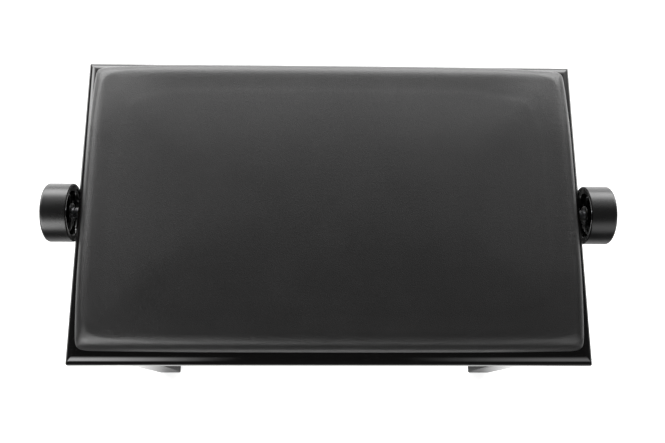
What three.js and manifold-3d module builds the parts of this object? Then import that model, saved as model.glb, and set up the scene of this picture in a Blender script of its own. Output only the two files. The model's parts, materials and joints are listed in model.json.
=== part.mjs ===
// A height-adjustable keyboard bench: a padded seat on a scissor lift inside a wooden apron box.
// A threaded spindle with a knob at each end drives the lift. Millimetres, +Z up, front of the bench at -Y.
// The origin is on the floor, under the middle of the bench. The seat is drawn at its lowest.
import * as THREE from "three";
import { mergeVertices } from "three/addons/utils/BufferGeometryUtils.js";
import Module from "manifold-3d";

const wasm = await Module();
wasm.setup();

// Driving sizes of the bench
const BOARD_LENGTH = 565;
const BOARD_DEPTH = 348;
const BOARD_THICKNESS = 18;
const BOARD_TOP_HEIGHT = 448;
const SIDE_OVERHANG = 14.5;
const FRONT_OVERHANG = 12;
const LIFT = 100;

// Clearances
const RUNNING = 0.25;
const SEATED = 0.2;
const PLAY = 0.75;
const OVERRUN = 5;

// Board edge
const BOARD_ROUND_WIDTH = 14.5;
const BOARD_ROUND_HEIGHT = 14.5;
const BOARD_LOWER_EASE = 1.2;
const BOARD_CORNER_RADIUS = 1.6;

// Cushion and the plywood panel it is upholstered on
const CUSHION_MARGIN = 15;
const CUSHION_SIDE_HEIGHT = 32;
const CUSHION_CROWN = 6;
const CUSHION_CORNER_RADIUS = 9;
const CUSHION_TOP_CORNER_RADIUS = 24;
const CUSHION_BULGE = 3.5;
const CUSHION_ROLL_WIDTH = 20;
const CUSHION_ROLL_HEIGHT = 24;
const CUSHION_HEM = 2;
const PANEL_THICKNESS = 9;
const PANEL_INSET = 5;

// Wooden base
const APRON_HEIGHT = 95;
const APRON_THICKNESS = 18;
const APRON_SETBACK = 2;
const APRON_EASE = 2.5;
const LEG_TOP = 42;
const LEG_FOOT = 33.5;
const LEG_CHAMFER = 1.5;
const LEG_BOLT_FLAT = 9;
const GLIDE_RADIUS = 9;
const GLIDE_HEIGHT = 3;
const GLIDE_EDGE = 1;
const GLIDE_STEM_RADIUS = 4.5;
const GLIDE_STEM_TOP = 8;
const CLEAT_WIDTH = 18;
const CLEAT_HEIGHT = 14;

// Corner brackets and their bolts
const BRACKET_THICKNESS = 2.5;
const BRACKET_HEIGHT = 44;
const BRACKET_TAB = 14;
const BRACKET_STANDOFF = 8;
const BOLT_RADIUS = 4;
const BOLT_IN_LEG = 22;
const BOLT_STICKS_OUT = 10;
const NUT_ACROSS_CORNERS = 15;
const NUT_HEIGHT = 6.5;
const WASHER_RADIUS = 9;
const WASHER_THICKNESS = 1.6;

// Scissor lift
const PIVOT_TO_LEG = 58;
const ARM_WIDTH = 22;
const ARM_THICKNESS = 4;
const ARM_GAP = 1;
const PIVOT_RISE = 50;
const UPPER_PIVOT_DROP = 14;
const PIN_RADIUS = 5;
const PIN_HEAD_RADIUS = 8;
const PIN_HEAD_THICKNESS = 2;
const SPACER_RADIUS = 7;
const PIVOT_SHAFT_RADIUS = 8;
const RAIL_BEYOND_PIVOT = 18;
const RAIL_THICKNESS = 3;
const RAIL_FLANGE = 15;
const RAIL_BEND_RADIUS = 2;
const LOWER_RAIL_HEIGHT = 28;
const UPPER_RAIL_HEIGHT = 26;
const RAIL_TO_APRON = 1;
const PIVOT_TO_RAIL_EDGE = 14;
const RAIL_SCREW_RADIUS = 2.3;
const RAIL_SCREW_SHARES = [-0.92, -0.34, 0.34, 0.92];
const ROLLER_RADIUS = 6;
const ROLLER_PIN_RADIUS = 4;
const ROLLER_WASHER_RADIUS = 8.5;
const ROLLER_WASHER_THICKNESS = 1.5;

// Nut carriage
const CROSS_BAR_SIDE = 16;
const GUIDE_LENGTH = 34;
const GUIDE_HEIGHT = 17;
const TONGUE_LENGTH = 26;
const TONGUE_HEIGHT = 12;
const NUT_BRACKET_THICKNESS = 5;
const NUT_BRACKET_WIDTH = 44;
const NUT_BRACKET_SHOULDER = 6;
const NUT_FLANGE_RADIUS = 15;
const NUT_FLANGE_THICKNESS = 4;
const NUT_BARREL_RADIUS = 10.5;
const NUT_BARREL_LENGTH = 22;

// Spindle
const SPINDLE_RADIUS = 7;
const SPINDLE_BELOW_BOARD = 18;
const JOURNAL_RADIUS = 6;
const COLLAR_RADIUS = 13;
const COLLAR_LENGTH = 8;
const BUSH_RADIUS = 9;
const BUSH_FLANGE_RADIUS = 14;
const BUSH_FLANGE_THICKNESS = 2.5;

// Knobs, each a deep moulded cup with its open side towards the bench
const KNOB_RADIUS = 33.6;
const KNOB_LENGTH = 28.5;
const KNOB_FROM_BOARD = 11.5;
const KNOB_OUTER_ROUND = 3;
const KNOB_RIM_CHAMFER = 1;
const KNOB_RIM_WIDTH = 2.2;
const KNOB_STEP_DEPTH = 1.6;
const KNOB_STEP_WIDTH = 4.5;
const KNOB_DISH_DEPTH = 11;
const KNOB_DISH_FILLET = 4;
const KNOB_DISH_DRAFT = 1.5;
const KNOB_HUB_RADIUS = 11;
const KNOB_HUB_ROUND = 1.5;
const KNOB_GRIP_ON_SPINDLE = 18;

// Facets around a turned piece, and steps along a rounded outline, roll or fillet
const FINE = 40;
const ROUND = 20;
const COARSE = 12;
const HEXAGON = 6;
const ARC_STEPS = 8;
const BOARD_EDGE_STEPS = 9;
const ROLL_STEPS = 5;
const CORNER_STEPS = 4;
const CUSHION_SIDE_STEPS = 8;
const FILLET_STEPS = 3;

// Places worked out from the sizes
const half = (size) => size / 2;
const boardHalfX = half(BOARD_LENGTH);
const boardHalfY = half(BOARD_DEPTH);
const boardUnder = BOARD_TOP_HEIGHT - BOARD_THICKNESS;
const legOuterX = boardHalfX - SIDE_OVERHANG;
const legOuterY = boardHalfY - FRONT_OVERHANG;
const legInnerX = legOuterX - LEG_TOP;
const legInnerY = legOuterY - LEG_TOP;
const apronTop = boardUnder - 2 * SEATED;
const apronBottom = apronTop - APRON_HEIGHT;
const apronOuterX = legOuterX - APRON_SETBACK;
const apronOuterY = legOuterY - APRON_SETBACK;
const apronInnerX = apronOuterX - APRON_THICKNESS;
const apronInnerY = apronOuterY - APRON_THICKNESS;
const railOuterY = apronInnerY - RAIL_TO_APRON;
const railWebInnerY = railOuterY - RAIL_FLANGE;
const railWebOuterY = railWebInnerY + RAIL_THICKNESS;
const outerArmY = railWebInnerY - ARM_GAP - half(ARM_THICKNESS);
const innerArmY = outerArmY - ARM_THICKNESS - ARM_GAP;
const upperPivotZ = boardUnder - UPPER_PIVOT_DROP;
const lowerPivotZ = upperPivotZ - PIVOT_RISE;
const spindleZ = boardUnder - SPINDLE_BELOW_BOARD;
const cleatTop = lowerPivotZ - PIVOT_TO_RAIL_EDGE;
const knobInnerX = boardHalfX + KNOB_FROM_BOARD;

// The arms stand at restAngle when the seat is lowest and at topAngle when it is highest
const pivotSpan = 2 * (legInnerX - PIVOT_TO_LEG);
const armReach = Math.hypot(pivotSpan, PIVOT_RISE);
const restAngle = Math.asin(PIVOT_RISE / armReach);
const topAngle = Math.asin((PIVOT_RISE + LIFT) / armReach);
const fixedPivotX = -half(pivotSpan);
const slidePivotX = half(pivotSpan);
const slideTravel = pivotSpan - armReach * Math.cos(topAngle);
const railEnd = half(pivotSpan) + RAIL_BEYOND_PIVOT;

// Finishes
const finish = (color, roughness, metalness) =>
  new THREE.MeshStandardMaterial({ color, roughness, metalness });
const lacquer = finish(0x0b0a0a, 0.12, 0);
const leatherette = finish(0x1c1c1d, 0.42, 0);
const plywood = finish(0xb08a5c, 0.7, 0);
const beech = finish(0x9a7448, 0.65, 0);
const blackSteel = finish(0x17181a, 0.45, 0.8);
const zinc = finish(0xa9acb0, 0.35, 0.9);
const bronze = finish(0x9c7a3c, 0.4, 0.9);
const nylon = finish(0xd8d6cf, 0.5, 0);
const knobPlastic = finish(0x101011, 0.33, 0);
const glideFelt = finish(0x2a2723, 0.9, 0);

// Solids
function solid(geometry) {
  const bare = geometry.clone();
  bare.deleteAttribute("normal");
  bare.deleteAttribute("uv");
  const merged = mergeVertices(bare);
  return new wasm.Manifold(
    new wasm.Mesh({
      numProp: 3,
      vertProperties: new Float32Array(merged.attributes.position.array),
      triVerts: new Uint32Array(merged.index.array),
    })
  );
}

function geometryOf(made) {
  const mesh = made.getMesh();
  const geometry = new THREE.BufferGeometry();
  geometry.setAttribute("position", new THREE.BufferAttribute(mesh.vertProperties, 3));
  geometry.setIndex(new THREE.BufferAttribute(mesh.triVerts, 1));
  geometry.computeVertexNormals();
  return geometry;
}

function cut(geometry, ...cutters) {
  return geometryOf(cutters.reduce((left, cutter) => left.subtract(solid(cutter)), solid(geometry)));
}

function join(geometry, ...others) {
  return geometryOf(others.reduce((whole, other) => whole.add(solid(other)), solid(geometry)));
}

// A box between two opposite corners
function block(x0, x1, y0, y1, z0, z1) {
  const box = new THREE.BoxGeometry(x1 - x0, y1 - y0, z1 - z0);
  return box.translate(half(x0 + x1), half(y0 + y1), half(z0 + z1));
}

// A turned piece: points are [radius, place along the axis]; the axis is X, Y or Z
function turned(points, axis, segments = ROUND) {
  const profile = points.map(([radius, along]) => new THREE.Vector2(radius, along));
  const made = new THREE.LatheGeometry(profile, segments);
  if (axis === "x") return made.rotateZ(-half(Math.PI));
  return axis === "z" ? made.rotateX(half(Math.PI)) : made;
}

// A plain round bar or hole cutter
const bar = (radius, from, to, axis, segments) =>
  turned([[0, from], [radius, from], [radius, to], [0, to]], axis, segments);

// An outline drawn out to a depth, with square edges
const drawnOut = (outline, depth) =>
  new THREE.ExtrudeGeometry(outline, { depth, bevelEnabled: false, curveSegments: ARC_STEPS });

// A plate cut from an outline drawn in X and Z, between two places on Y
const plateXZ = (outline, y0, y1) =>
  drawnOut(outline, y1 - y0).rotateX(half(Math.PI)).translate(0, y1, 0);

// A section drawn in Y and Z, run along X
const barYZ = (outline, x0, x1) =>
  drawnOut(outline, x1 - x0).rotateX(half(Math.PI)).rotateZ(half(Math.PI)).translate(x0, 0, 0);

// A closed skin over rings of equally many points, lowest ring first, each ring counterclockwise from above
function loft(rings) {
  const count = rings[0].length;
  const places = rings.flat().concat([centreOf(rings[0]), centreOf(rings.at(-1))]);
  const low = places.length - 2;
  const high = places.length - 1;
  const faces = [];
  for (let i = 0; i < count; i++) {
    const next = (i + 1) % count;
    for (let ring = 0; ring + 1 < rings.length; ring++) {
      const a = ring * count + i;
      const b = ring * count + next;
      faces.push(a, b, b + count, a, b + count, a + count);
    }
    faces.push(low, next, i, high, high - 1 - count + i, high - 1 - count + next);
  }
  const made = new THREE.BufferGeometry().setFromPoints(places);
  return made.setIndex(faces);
}

function centreOf(ring) {
  return ring.reduce((sum, point) => sum.add(point), new THREE.Vector3()).divideScalar(ring.length);
}

// A ring around the bench's middle: a rectangle with round corners, its sides swelling by bulge at mid side
function roundedRing(halfX, halfY, radius, z, bulge = 0, cornerSteps = 2, sideSteps = 1) {
  const ring = [];
  const corners = [[1, 1], [-1, 1], [-1, -1], [1, -1]];
  corners.forEach(([signX, signY], quarter) => {
    for (let step = 0; step <= cornerSteps; step++) {
      const turn = (quarter + step / cornerSteps) * half(Math.PI);
      const x = signX * (halfX - radius) + radius * Math.cos(turn);
      const y = signY * (halfY - radius) + radius * Math.sin(turn);
      ring.push(new THREE.Vector3(x, y, z));
    }
    const alongX = signX === signY;
    for (let step = 1; step < sideSteps; step++) {
      const travelled = 1 - (2 * step) / sideSteps;
      const swell = bulge * (1 - travelled ** 4);
      const x = alongX ? signX * travelled * (halfX - radius) : signX * (halfX + swell);
      const y = alongX ? signY * (halfY + swell) : signY * travelled * (halfY - radius);
      ring.push(new THREE.Vector3(x, y, z));
    }
  });
  return ring;
}

// Scene
const bench = new THREE.Group();

function piece(name, geometry, material, signX = 1, signY = 1) {
  const mesh = new THREE.Mesh(geometry, material);
  mesh.name = name;
  mesh.scale.set(signX, signY, 1);
  bench.add(mesh);
  return mesh;
}

// Pieces drawn at the back or right are mirrored to their partners
const FRONT_AND_BACK = [["front", -1], ["back", 1]];
const LEFT_AND_RIGHT = [["left", -1], ["right", 1]];

function frontAndBack(name, geometry, material) {
  FRONT_AND_BACK.forEach(([side, sign]) => piece(`${name}_${side}`, geometry, material, 1, sign));
}

function leftAndRight(name, geometry, material) {
  LEFT_AND_RIGHT.forEach(([side, sign]) => piece(`${name}_${side}`, geometry, material, sign, 1));
}

function atEachCorner(name, geometry, material) {
  for (const [depthSide, signY] of FRONT_AND_BACK) {
    for (const [side, signX] of LEFT_AND_RIGHT) {
      piece(`${name}_${depthSide}_${side}`, geometry, material, signX, signY);
    }
  }
}

// Seat board, with a rounded moulding and mitred corners
function seatBoard() {
  const levels = [
    [BOARD_LOWER_EASE, 0],
    [0, BOARD_LOWER_EASE],
  ];
  for (let step = 0; step <= BOARD_EDGE_STEPS; step++) {
    const turn = (step / BOARD_EDGE_STEPS) * half(Math.PI);
    levels.push([
      BOARD_ROUND_WIDTH * (1 - Math.cos(turn)),
      BOARD_THICKNESS - BOARD_ROUND_HEIGHT * (1 - Math.sin(turn)),
    ]);
  }
  const ring = ([inset, rise]) =>
    roundedRing(boardHalfX - inset, boardHalfY - inset, BOARD_CORNER_RADIUS, boardUnder + rise);
  return loft(levels.map(ring));
}

// Cushion: straight at its hem, swelling just above it, rolled over its top edges and crowned
function cushion() {
  const bottom = BOARD_TOP_HEIGHT + SEATED;
  const hemX = boardHalfX - CUSHION_MARGIN;
  const hemY = boardHalfY - CUSHION_MARGIN;
  const shoulder = CUSHION_SIDE_HEIGHT - CUSHION_ROLL_HEIGHT;
  const shoulderRadius = half(CUSHION_CORNER_RADIUS + CUSHION_TOP_CORNER_RADIUS);
  const rings = [];
  const addRing = (inset, rise, bulge, radius) => {
    const z = bottom + rise;
    rings.push(roundedRing(hemX - inset, hemY - inset, radius, z, bulge, CORNER_STEPS, CUSHION_SIDE_STEPS));
  };
  addRing(CUSHION_HEM, 0, 0, CUSHION_CORNER_RADIUS);
  addRing(0, CUSHION_HEM, 0, CUSHION_CORNER_RADIUS);
  const sideShares = [0.5, 1];
  for (const share of sideShares) {
    const swell = Math.sin(share * half(Math.PI));
    const radius = THREE.MathUtils.lerp(CUSHION_CORNER_RADIUS, shoulderRadius, share);
    addRing(0, CUSHION_HEM + share * (shoulder - CUSHION_HEM), CUSHION_BULGE * swell, radius);
  }
  for (let step = 1; step <= ROLL_STEPS; step++) {
    const turn = (step / ROLL_STEPS) * half(Math.PI);
    const inset = CUSHION_ROLL_WIDTH * (1 - Math.cos(turn));
    const rise = shoulder + CUSHION_ROLL_HEIGHT * Math.sin(turn);
    const radius = THREE.MathUtils.lerp(shoulderRadius, CUSHION_TOP_CORNER_RADIUS, step / ROLL_STEPS);
    addRing(inset, rise, CUSHION_BULGE * Math.cos(half(turn)), radius);
  }
  const crownShares = [0.3, 0.6, 0.85];
  const reach = hemY - CUSHION_ROLL_WIDTH - CUSHION_TOP_CORNER_RADIUS;
  for (const share of crownShares) {
    const inset = CUSHION_ROLL_WIDTH + share * reach;
    const rise = CUSHION_SIDE_HEIGHT + CUSHION_CROWN * Math.sin(share * half(Math.PI));
    addRing(inset, rise, half(CUSHION_BULGE) * (1 - share), CUSHION_TOP_CORNER_RADIUS);
  }
  const room = panelBody(bottom - OVERRUN, bottom + PANEL_THICKNESS + RUNNING, RUNNING);
  return cut(loft(rings), room);
}

// The panel's outline between two heights, larger all round by a clearance
function panelBody(z0, z1, clearance = 0) {
  const inset = PANEL_INSET - clearance;
  const reachX = boardHalfX - CUSHION_MARGIN - inset;
  const reachY = boardHalfY - CUSHION_MARGIN - inset;
  const radius = CUSHION_CORNER_RADIUS - inset;
  return loft([z0, z1].map((z) => roundedRing(reachX, reachY, radius, z)));
}

function cushionPanel() {
  const bottom = BOARD_TOP_HEIGHT + SEATED;
  return panelBody(bottom, bottom + PANEL_THICKNESS);
}

piece("seat_board", seatBoard(), lacquer);
piece("cushion_panel", cushionPanel(), plywood);
piece("cushion", cushion(), leatherette);

// Legs: square, tapered on the two inner faces below the aprons, with a flat for the bolt on the inner edge
function legRing(size, z) {
  const x1 = legOuterX;
  const y1 = legOuterY;
  const x0 = x1 - size;
  const y0 = y1 - size;
  const c = LEG_CHAMFER;
  const places = [
    [x1, y0 + c], [x1, y1 - c], [x1 - c, y1], [x0 + c, y1],
    [x0, y1 - c], [x0, y0 + c], [x0 + c, y0], [x1 - c, y0],
  ];
  return places.map(([x, y]) => new THREE.Vector3(x, y, z));
}

// A cutter or plate that faces the leg's inner edge squarely, at a distance towards the middle of the bench
const legDiagonal = (distance) => [
  legInnerX - distance * Math.SQRT1_2,
  legInnerY - distance * Math.SQRT1_2,
];

// The middle of a leg's foot
const footCentreX = legOuterX - half(LEG_FOOT);
const footCentreY = legOuterY - half(LEG_FOOT);

function leg() {
  const shaft = loft([
    legRing(LEG_FOOT, GLIDE_HEIGHT),
    legRing(LEG_TOP, apronBottom),
    legRing(LEG_TOP, apronTop),
  ]);
  const flatWidth = 2 * LEG_BOLT_FLAT;
  const flatHeight = APRON_HEIGHT + OVERRUN;
  const flat = new THREE.BoxGeometry(flatWidth, 2 * flatWidth, flatHeight);
  flat.rotateZ(Math.PI / 4);
  const [x, y] = legDiagonal(LEG_BOLT_FLAT - LEG_BOLT_FLAT * Math.SQRT1_2);
  flat.translate(x, y, apronBottom + half(flatHeight));
  const boltHole = bar(BOLT_RADIUS + RUNNING, -OVERRUN, BOLT_IN_LEG + OVERRUN, "x", COARSE);
  placeOnDiagonal(boltHole, 0);
  const glideHole = bar(GLIDE_STEM_RADIUS + RUNNING, 0, GLIDE_STEM_TOP + PLAY, "z", COARSE);
  glideHole.translate(footCentreX, footCentreY, 0);
  return cut(shaft, flat, boltHole, glideHole);
}

// Turns a piece drawn along X to point into the leg, its zero at a distance before the leg's inner edge
function placeOnDiagonal(geometry, distance) {
  const [x, y] = legDiagonal(distance);
  return geometry.rotateZ(Math.PI / 4).translate(x, y, half(apronTop + apronBottom));
}

// Glide: a felt-faced disc with a stem in the leg
function glide() {
  const seat = GLIDE_HEIGHT - SEATED;
  const made = turned(
    [
      [0, 0],
      [GLIDE_RADIUS - GLIDE_EDGE, 0],
      [GLIDE_RADIUS, GLIDE_EDGE],
      [GLIDE_RADIUS, seat],
      [GLIDE_STEM_RADIUS, seat],
      [GLIDE_STEM_RADIUS, GLIDE_STEM_TOP],
      [0, GLIDE_STEM_TOP],
    ],
    "z",
    COARSE
  );
  return made.translate(footCentreX, footCentreY, 0);
}

atEachCorner("leg", leg(), lacquer);
atEachCorner("glide", glide(), glideFelt);

// Aprons: boards with eased edges, butted between the legs
function apronSection(inner, outer) {
  const section = new THREE.Shape();
  section.moveTo(inner, apronBottom);
  section.lineTo(outer - APRON_EASE, apronBottom);
  section.quadraticCurveTo(outer, apronBottom, outer, apronBottom + APRON_EASE);
  section.lineTo(outer, apronTop);
  section.lineTo(inner, apronTop);
  section.closePath();
  return section;
}

function longApron() {
  return barYZ(apronSection(apronInnerY, apronOuterY), -legInnerX + SEATED, legInnerX - SEATED);
}

function sideApron() {
  const board = barYZ(apronSection(apronInnerX, apronOuterX), -legInnerY + SEATED, legInnerY - SEATED);
  board.rotateZ(-half(Math.PI));
  const bore = bar(BUSH_RADIUS + RUNNING, apronInnerX - OVERRUN, apronOuterX + OVERRUN, "x");
  return cut(board, bore.translate(0, 0, spindleZ));
}

frontAndBack("apron", longApron(), lacquer);
leftAndRight("apron", sideApron(), lacquer);

// Cleats carry the lower rails along the long aprons
function cleat() {
  const reach = legInnerX - SEATED;
  const outer = apronInnerY - SEATED;
  return block(-reach, reach, outer - CLEAT_WIDTH, outer, cleatTop - CLEAT_HEIGHT, cleatTop - SEATED);
}

frontAndBack("rail_cleat", cleat(), beech);

// Corner bracket: one strip of steel bent across the corner, screwed to both aprons by its tabs
function stripOutline(line, thickness) {
  const normalTo = (a, b) => new THREE.Vector2(b[1] - a[1], a[0] - b[0]).normalize();
  const offset = (side) =>
    line.map((point, i) => {
      const before = normalTo(line[Math.max(i - 1, 0)], line[Math.max(i, 1)]);
      const after = normalTo(line[Math.min(i, line.length - 2)], line[Math.min(i + 1, line.length - 1)]);
      const mitre = before.clone().add(after).normalize();
      const reach = (side * half(thickness)) / mitre.dot(after);
      return new THREE.Vector2(point[0] + mitre.x * reach, point[1] + mitre.y * reach);
    });
  return new THREE.Shape([...offset(1), ...offset(-1).reverse()]);
}

function cornerBracket() {
  const lineY = apronInnerY - SEATED - half(BRACKET_THICKNESS);
  const lineX = apronInnerX - SEATED - half(BRACKET_THICKNESS);
  const diagonalSum = legInnerX + legInnerY - BRACKET_STANDOFF * Math.SQRT2;
  const bendX = diagonalSum - lineY;
  const bendY = diagonalSum - lineX;
  const strip = stripOutline(
    [[bendX - BRACKET_TAB, lineY], [bendX, lineY], [lineX, bendY], [lineX, bendY - BRACKET_TAB]],
    BRACKET_THICKNESS
  );
  const made = new THREE.ExtrudeGeometry(strip, { depth: BRACKET_HEIGHT, bevelEnabled: false });
  made.translate(0, 0, half(apronTop + apronBottom) - half(BRACKET_HEIGHT));
  const hole = bar(BOLT_RADIUS + RUNNING, -OVERRUN, OVERRUN, "x", COARSE);
  return cut(made, placeOnDiagonal(hole, BRACKET_STANDOFF));
}

// Hanger bolt with its washer and hexagon nut drawn up on the bracket
function legBolt() {
  const face = half(BRACKET_THICKNESS) + SEATED;
  const washerFace = -face - WASHER_THICKNESS;
  const studEnd = washerFace - NUT_HEIGHT - BOLT_STICKS_OUT;
  const stud = bar(BOLT_RADIUS, studEnd, BRACKET_STANDOFF + BOLT_IN_LEG, "x", COARSE);
  const washer = bar(WASHER_RADIUS, washerFace, -face, "x", COARSE);
  const nut = bar(half(NUT_ACROSS_CORNERS), washerFace - NUT_HEIGHT, washerFace, "x", HEXAGON);
  return placeOnDiagonal(join(stud, washer, nut), BRACKET_STANDOFF);
}

atEachCorner("corner_bracket", cornerBracket(), zinc);
atEachCorner("leg_bolt", legBolt(), zinc);

// Rails: steel angle with a rounded inner bend; the web is drawn upwards from the flange
function angleSection(height, upward) {
  const section = new THREE.Shape();
  const rise = (z) => (upward ? z : -z);
  const bend = RAIL_THICKNESS + RAIL_BEND_RADIUS;
  section.moveTo(railWebInnerY, 0);
  section.lineTo(railOuterY, 0);
  section.lineTo(railOuterY, rise(RAIL_THICKNESS));
  section.lineTo(railWebInnerY + bend, rise(RAIL_THICKNESS));
  section.quadraticCurveTo(railWebOuterY, rise(RAIL_THICKNESS), railWebOuterY, rise(bend));
  section.lineTo(railWebOuterY, rise(height));
  section.lineTo(railWebInnerY, rise(height));
  section.closePath();
  return section;
}

// The slot runs from the sliding pivot's rest place to its place when the seat is highest
function slotCutter(halfLength, halfHeight, z) {
  const from = slidePivotX - slideTravel - halfLength - PLAY;
  const to = slidePivotX + halfLength + PLAY;
  return block(from, to, railWebInnerY - OVERRUN, railWebOuterY + OVERRUN, z - halfHeight, z + halfHeight);
}

function railScrewHoles(z) {
  return RAIL_SCREW_SHARES.map((share) => {
    const hole = bar(RAIL_SCREW_RADIUS, z - OVERRUN, z + OVERRUN, "z", COARSE);
    return hole.translate(share * railEnd, half(railWebOuterY + railOuterY), 0);
  });
}

function pivotHole(z) {
  const hole = bar(PIN_RADIUS + RUNNING, railWebInnerY - OVERRUN, railWebOuterY + OVERRUN, "y", ROUND);
  return hole.translate(fixedPivotX, 0, z);
}

function lowerRail() {
  const angle = barYZ(angleSection(LOWER_RAIL_HEIGHT, true), -railEnd, railEnd);
  angle.translate(0, 0, cleatTop);
  const slot = slotCutter(half(TONGUE_LENGTH), half(TONGUE_HEIGHT) + RUNNING, lowerPivotZ);
  return cut(angle, slot, pivotHole(lowerPivotZ), ...railScrewHoles(cleatTop));
}

function upperRail() {
  const under = boardUnder - SEATED;
  const angle = barYZ(angleSection(UPPER_RAIL_HEIGHT, false), -railEnd, railEnd);
  angle.translate(0, 0, under);
  const slot = slotCutter(ROLLER_RADIUS, ROLLER_RADIUS + RUNNING, upperPivotZ);
  return cut(angle, slot, pivotHole(upperPivotZ), ...railScrewHoles(under));
}

frontAndBack("lower_rail", lowerRail(), blackSteel);
frontAndBack("upper_rail", upperRail(), blackSteel);

// Scissor arms: flat bars with round ends, drawn level about their middle and then tilted
function armOutline(endHoleRadius, slideHoleRadius) {
  const reach = half(armReach);
  const radius = half(ARM_WIDTH);
  const outline = new THREE.Shape();
  outline.moveTo(-reach, -radius);
  outline.lineTo(reach, -radius);
  outline.absarc(reach, 0, radius, -half(Math.PI), half(Math.PI), false);
  outline.lineTo(-reach, radius);
  outline.absarc(-reach, 0, radius, half(Math.PI), 3 * half(Math.PI), false);
  const holes = [[-reach, endHoleRadius], [0, PIN_RADIUS + RUNNING], [reach, slideHoleRadius]];
  for (const [x, holeRadius] of holes) {
    outline.holes.push(new THREE.Path().absarc(x, 0, holeRadius, 0, 2 * Math.PI, true));
  }
  return outline;
}

const centrePivotZ = half(lowerPivotZ + upperPivotZ);

function arm(middleY, tilt, slideHoleRadius) {
  const outline = armOutline(PIN_RADIUS + RUNNING, slideHoleRadius);
  const made = plateXZ(outline, middleY - half(ARM_THICKNESS), middleY + half(ARM_THICKNESS));
  return made.rotateY(-tilt).translate(0, 0, centrePivotZ);
}

frontAndBack("rising_arm", arm(outerArmY, restAngle, ROLLER_PIN_RADIUS + SEATED), blackSteel);
frontAndBack("falling_arm", arm(innerArmY, -restAngle, PIN_RADIUS + RUNNING), blackSteel);

const outerArmInnerFace = outerArmY - half(ARM_THICKNESS);
const outerArmOuterFace = outerArmY + half(ARM_THICKNESS);
const innerArmInnerFace = innerArmY - half(ARM_THICKNESS);
const innerArmOuterFace = innerArmY + half(ARM_THICKNESS);
const railHeadY = railWebOuterY + RUNNING;

// A bar from front to back with shoulders at its middle part and heads outside the rails
function shoulderedBar(middleRadius, shoulderY) {
  const end = railHeadY + PIN_HEAD_THICKNESS;
  const halfProfile = [
    [0, end],
    [PIN_HEAD_RADIUS, end],
    [PIN_HEAD_RADIUS, railHeadY],
    [PIN_RADIUS, railHeadY],
    [PIN_RADIUS, shoulderY],
    [middleRadius, shoulderY],
  ];
  const mirrored = halfProfile.map(([radius, along]) => [radius, -along]);
  return turned([...mirrored, ...halfProfile.reverse()], "y");
}

// The rising arms turn on this shaft in the lower rails
const pivotShaft = shoulderedBar(PIVOT_SHAFT_RADIUS, outerArmInnerFace - RUNNING);
piece("lower_pivot_shaft", pivotShaft.translate(fixedPivotX, 0, lowerPivotZ), zinc);

// Centre pins hold each crossing pair of arms together
function centrePin() {
  const innerHead = innerArmInnerFace - RUNNING;
  const outerHead = outerArmOuterFace + RUNNING;
  const washerInner = innerArmOuterFace + RUNNING;
  const washerOuter = outerArmInnerFace - RUNNING;
  const made = turned(
    [
      [0, innerHead - PIN_HEAD_THICKNESS],
      [PIN_HEAD_RADIUS, innerHead - PIN_HEAD_THICKNESS],
      [PIN_HEAD_RADIUS, innerHead],
      [PIN_RADIUS, innerHead],
      [PIN_RADIUS, washerInner],
      [PIN_HEAD_RADIUS, washerInner],
      [PIN_HEAD_RADIUS, washerOuter],
      [PIN_RADIUS, washerOuter],
      [PIN_RADIUS, outerHead],
      [PIN_HEAD_RADIUS, outerHead],
      [PIN_HEAD_RADIUS, outerHead + half(PIN_HEAD_THICKNESS)],
      [0, outerHead + half(PIN_HEAD_THICKNESS)],
    ],
    "y"
  );
  return made.translate(0, 0, centrePivotZ);
}

frontAndBack("centre_pin", centrePin(), zinc);

// Slot pins and rollers: the rising arms' upper ends run in the upper rails' slots
function slotPin() {
  const head = outerArmInnerFace - RUNNING;
  const washer = railWebOuterY + 2 * RUNNING;
  const made = turned(
    [
      [0, head - PIN_HEAD_THICKNESS],
      [PIN_HEAD_RADIUS, head - PIN_HEAD_THICKNESS],
      [PIN_HEAD_RADIUS, head],
      [ROLLER_PIN_RADIUS, head],
      [ROLLER_PIN_RADIUS, washer],
      [ROLLER_WASHER_RADIUS, washer],
      [ROLLER_WASHER_RADIUS, washer + ROLLER_WASHER_THICKNESS],
      [0, washer + ROLLER_WASHER_THICKNESS],
    ],
    "y"
  );
  return made.translate(slidePivotX, 0, upperPivotZ);
}

function ring(innerRadius, outerRadius, from, to, axis, segments) {
  return turned(
    [[innerRadius, from], [outerRadius, from], [outerRadius, to], [innerRadius, to], [innerRadius, from]],
    axis,
    segments
  );
}

function slotRoller() {
  const made = ring(ROLLER_PIN_RADIUS + RUNNING, ROLLER_RADIUS, outerArmOuterFace + RUNNING,
    railWebOuterY + RUNNING, "y");
  return made.translate(slidePivotX, 0, upperPivotZ);
}

frontAndBack("slot_pin", slotPin(), zinc);
frontAndBack("slot_roller", slotRoller(), nylon);

// Seat pivot pins: the falling arms' upper ends turn on them
function seatPin() {
  const head = innerArmInnerFace - RUNNING;
  const spacerInner = innerArmOuterFace + RUNNING;
  const spacerOuter = railWebInnerY - RUNNING;
  const made = turned(
    [
      [0, head - PIN_HEAD_THICKNESS],
      [PIN_HEAD_RADIUS, head - PIN_HEAD_THICKNESS],
      [PIN_HEAD_RADIUS, head],
      [PIN_RADIUS, head],
      [PIN_RADIUS, spacerInner],
      [SPACER_RADIUS, spacerInner],
      [SPACER_RADIUS, spacerOuter],
      [PIN_RADIUS, spacerOuter],
      [PIN_RADIUS, railHeadY],
      [PIN_HEAD_RADIUS, railHeadY],
      [PIN_HEAD_RADIUS, railHeadY + PIN_HEAD_THICKNESS],
      [0, railHeadY + PIN_HEAD_THICKNESS],
    ],
    "y"
  );
  return made.translate(fixedPivotX, 0, upperPivotZ);
}

frontAndBack("seat_pin", seatPin(), zinc);

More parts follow.
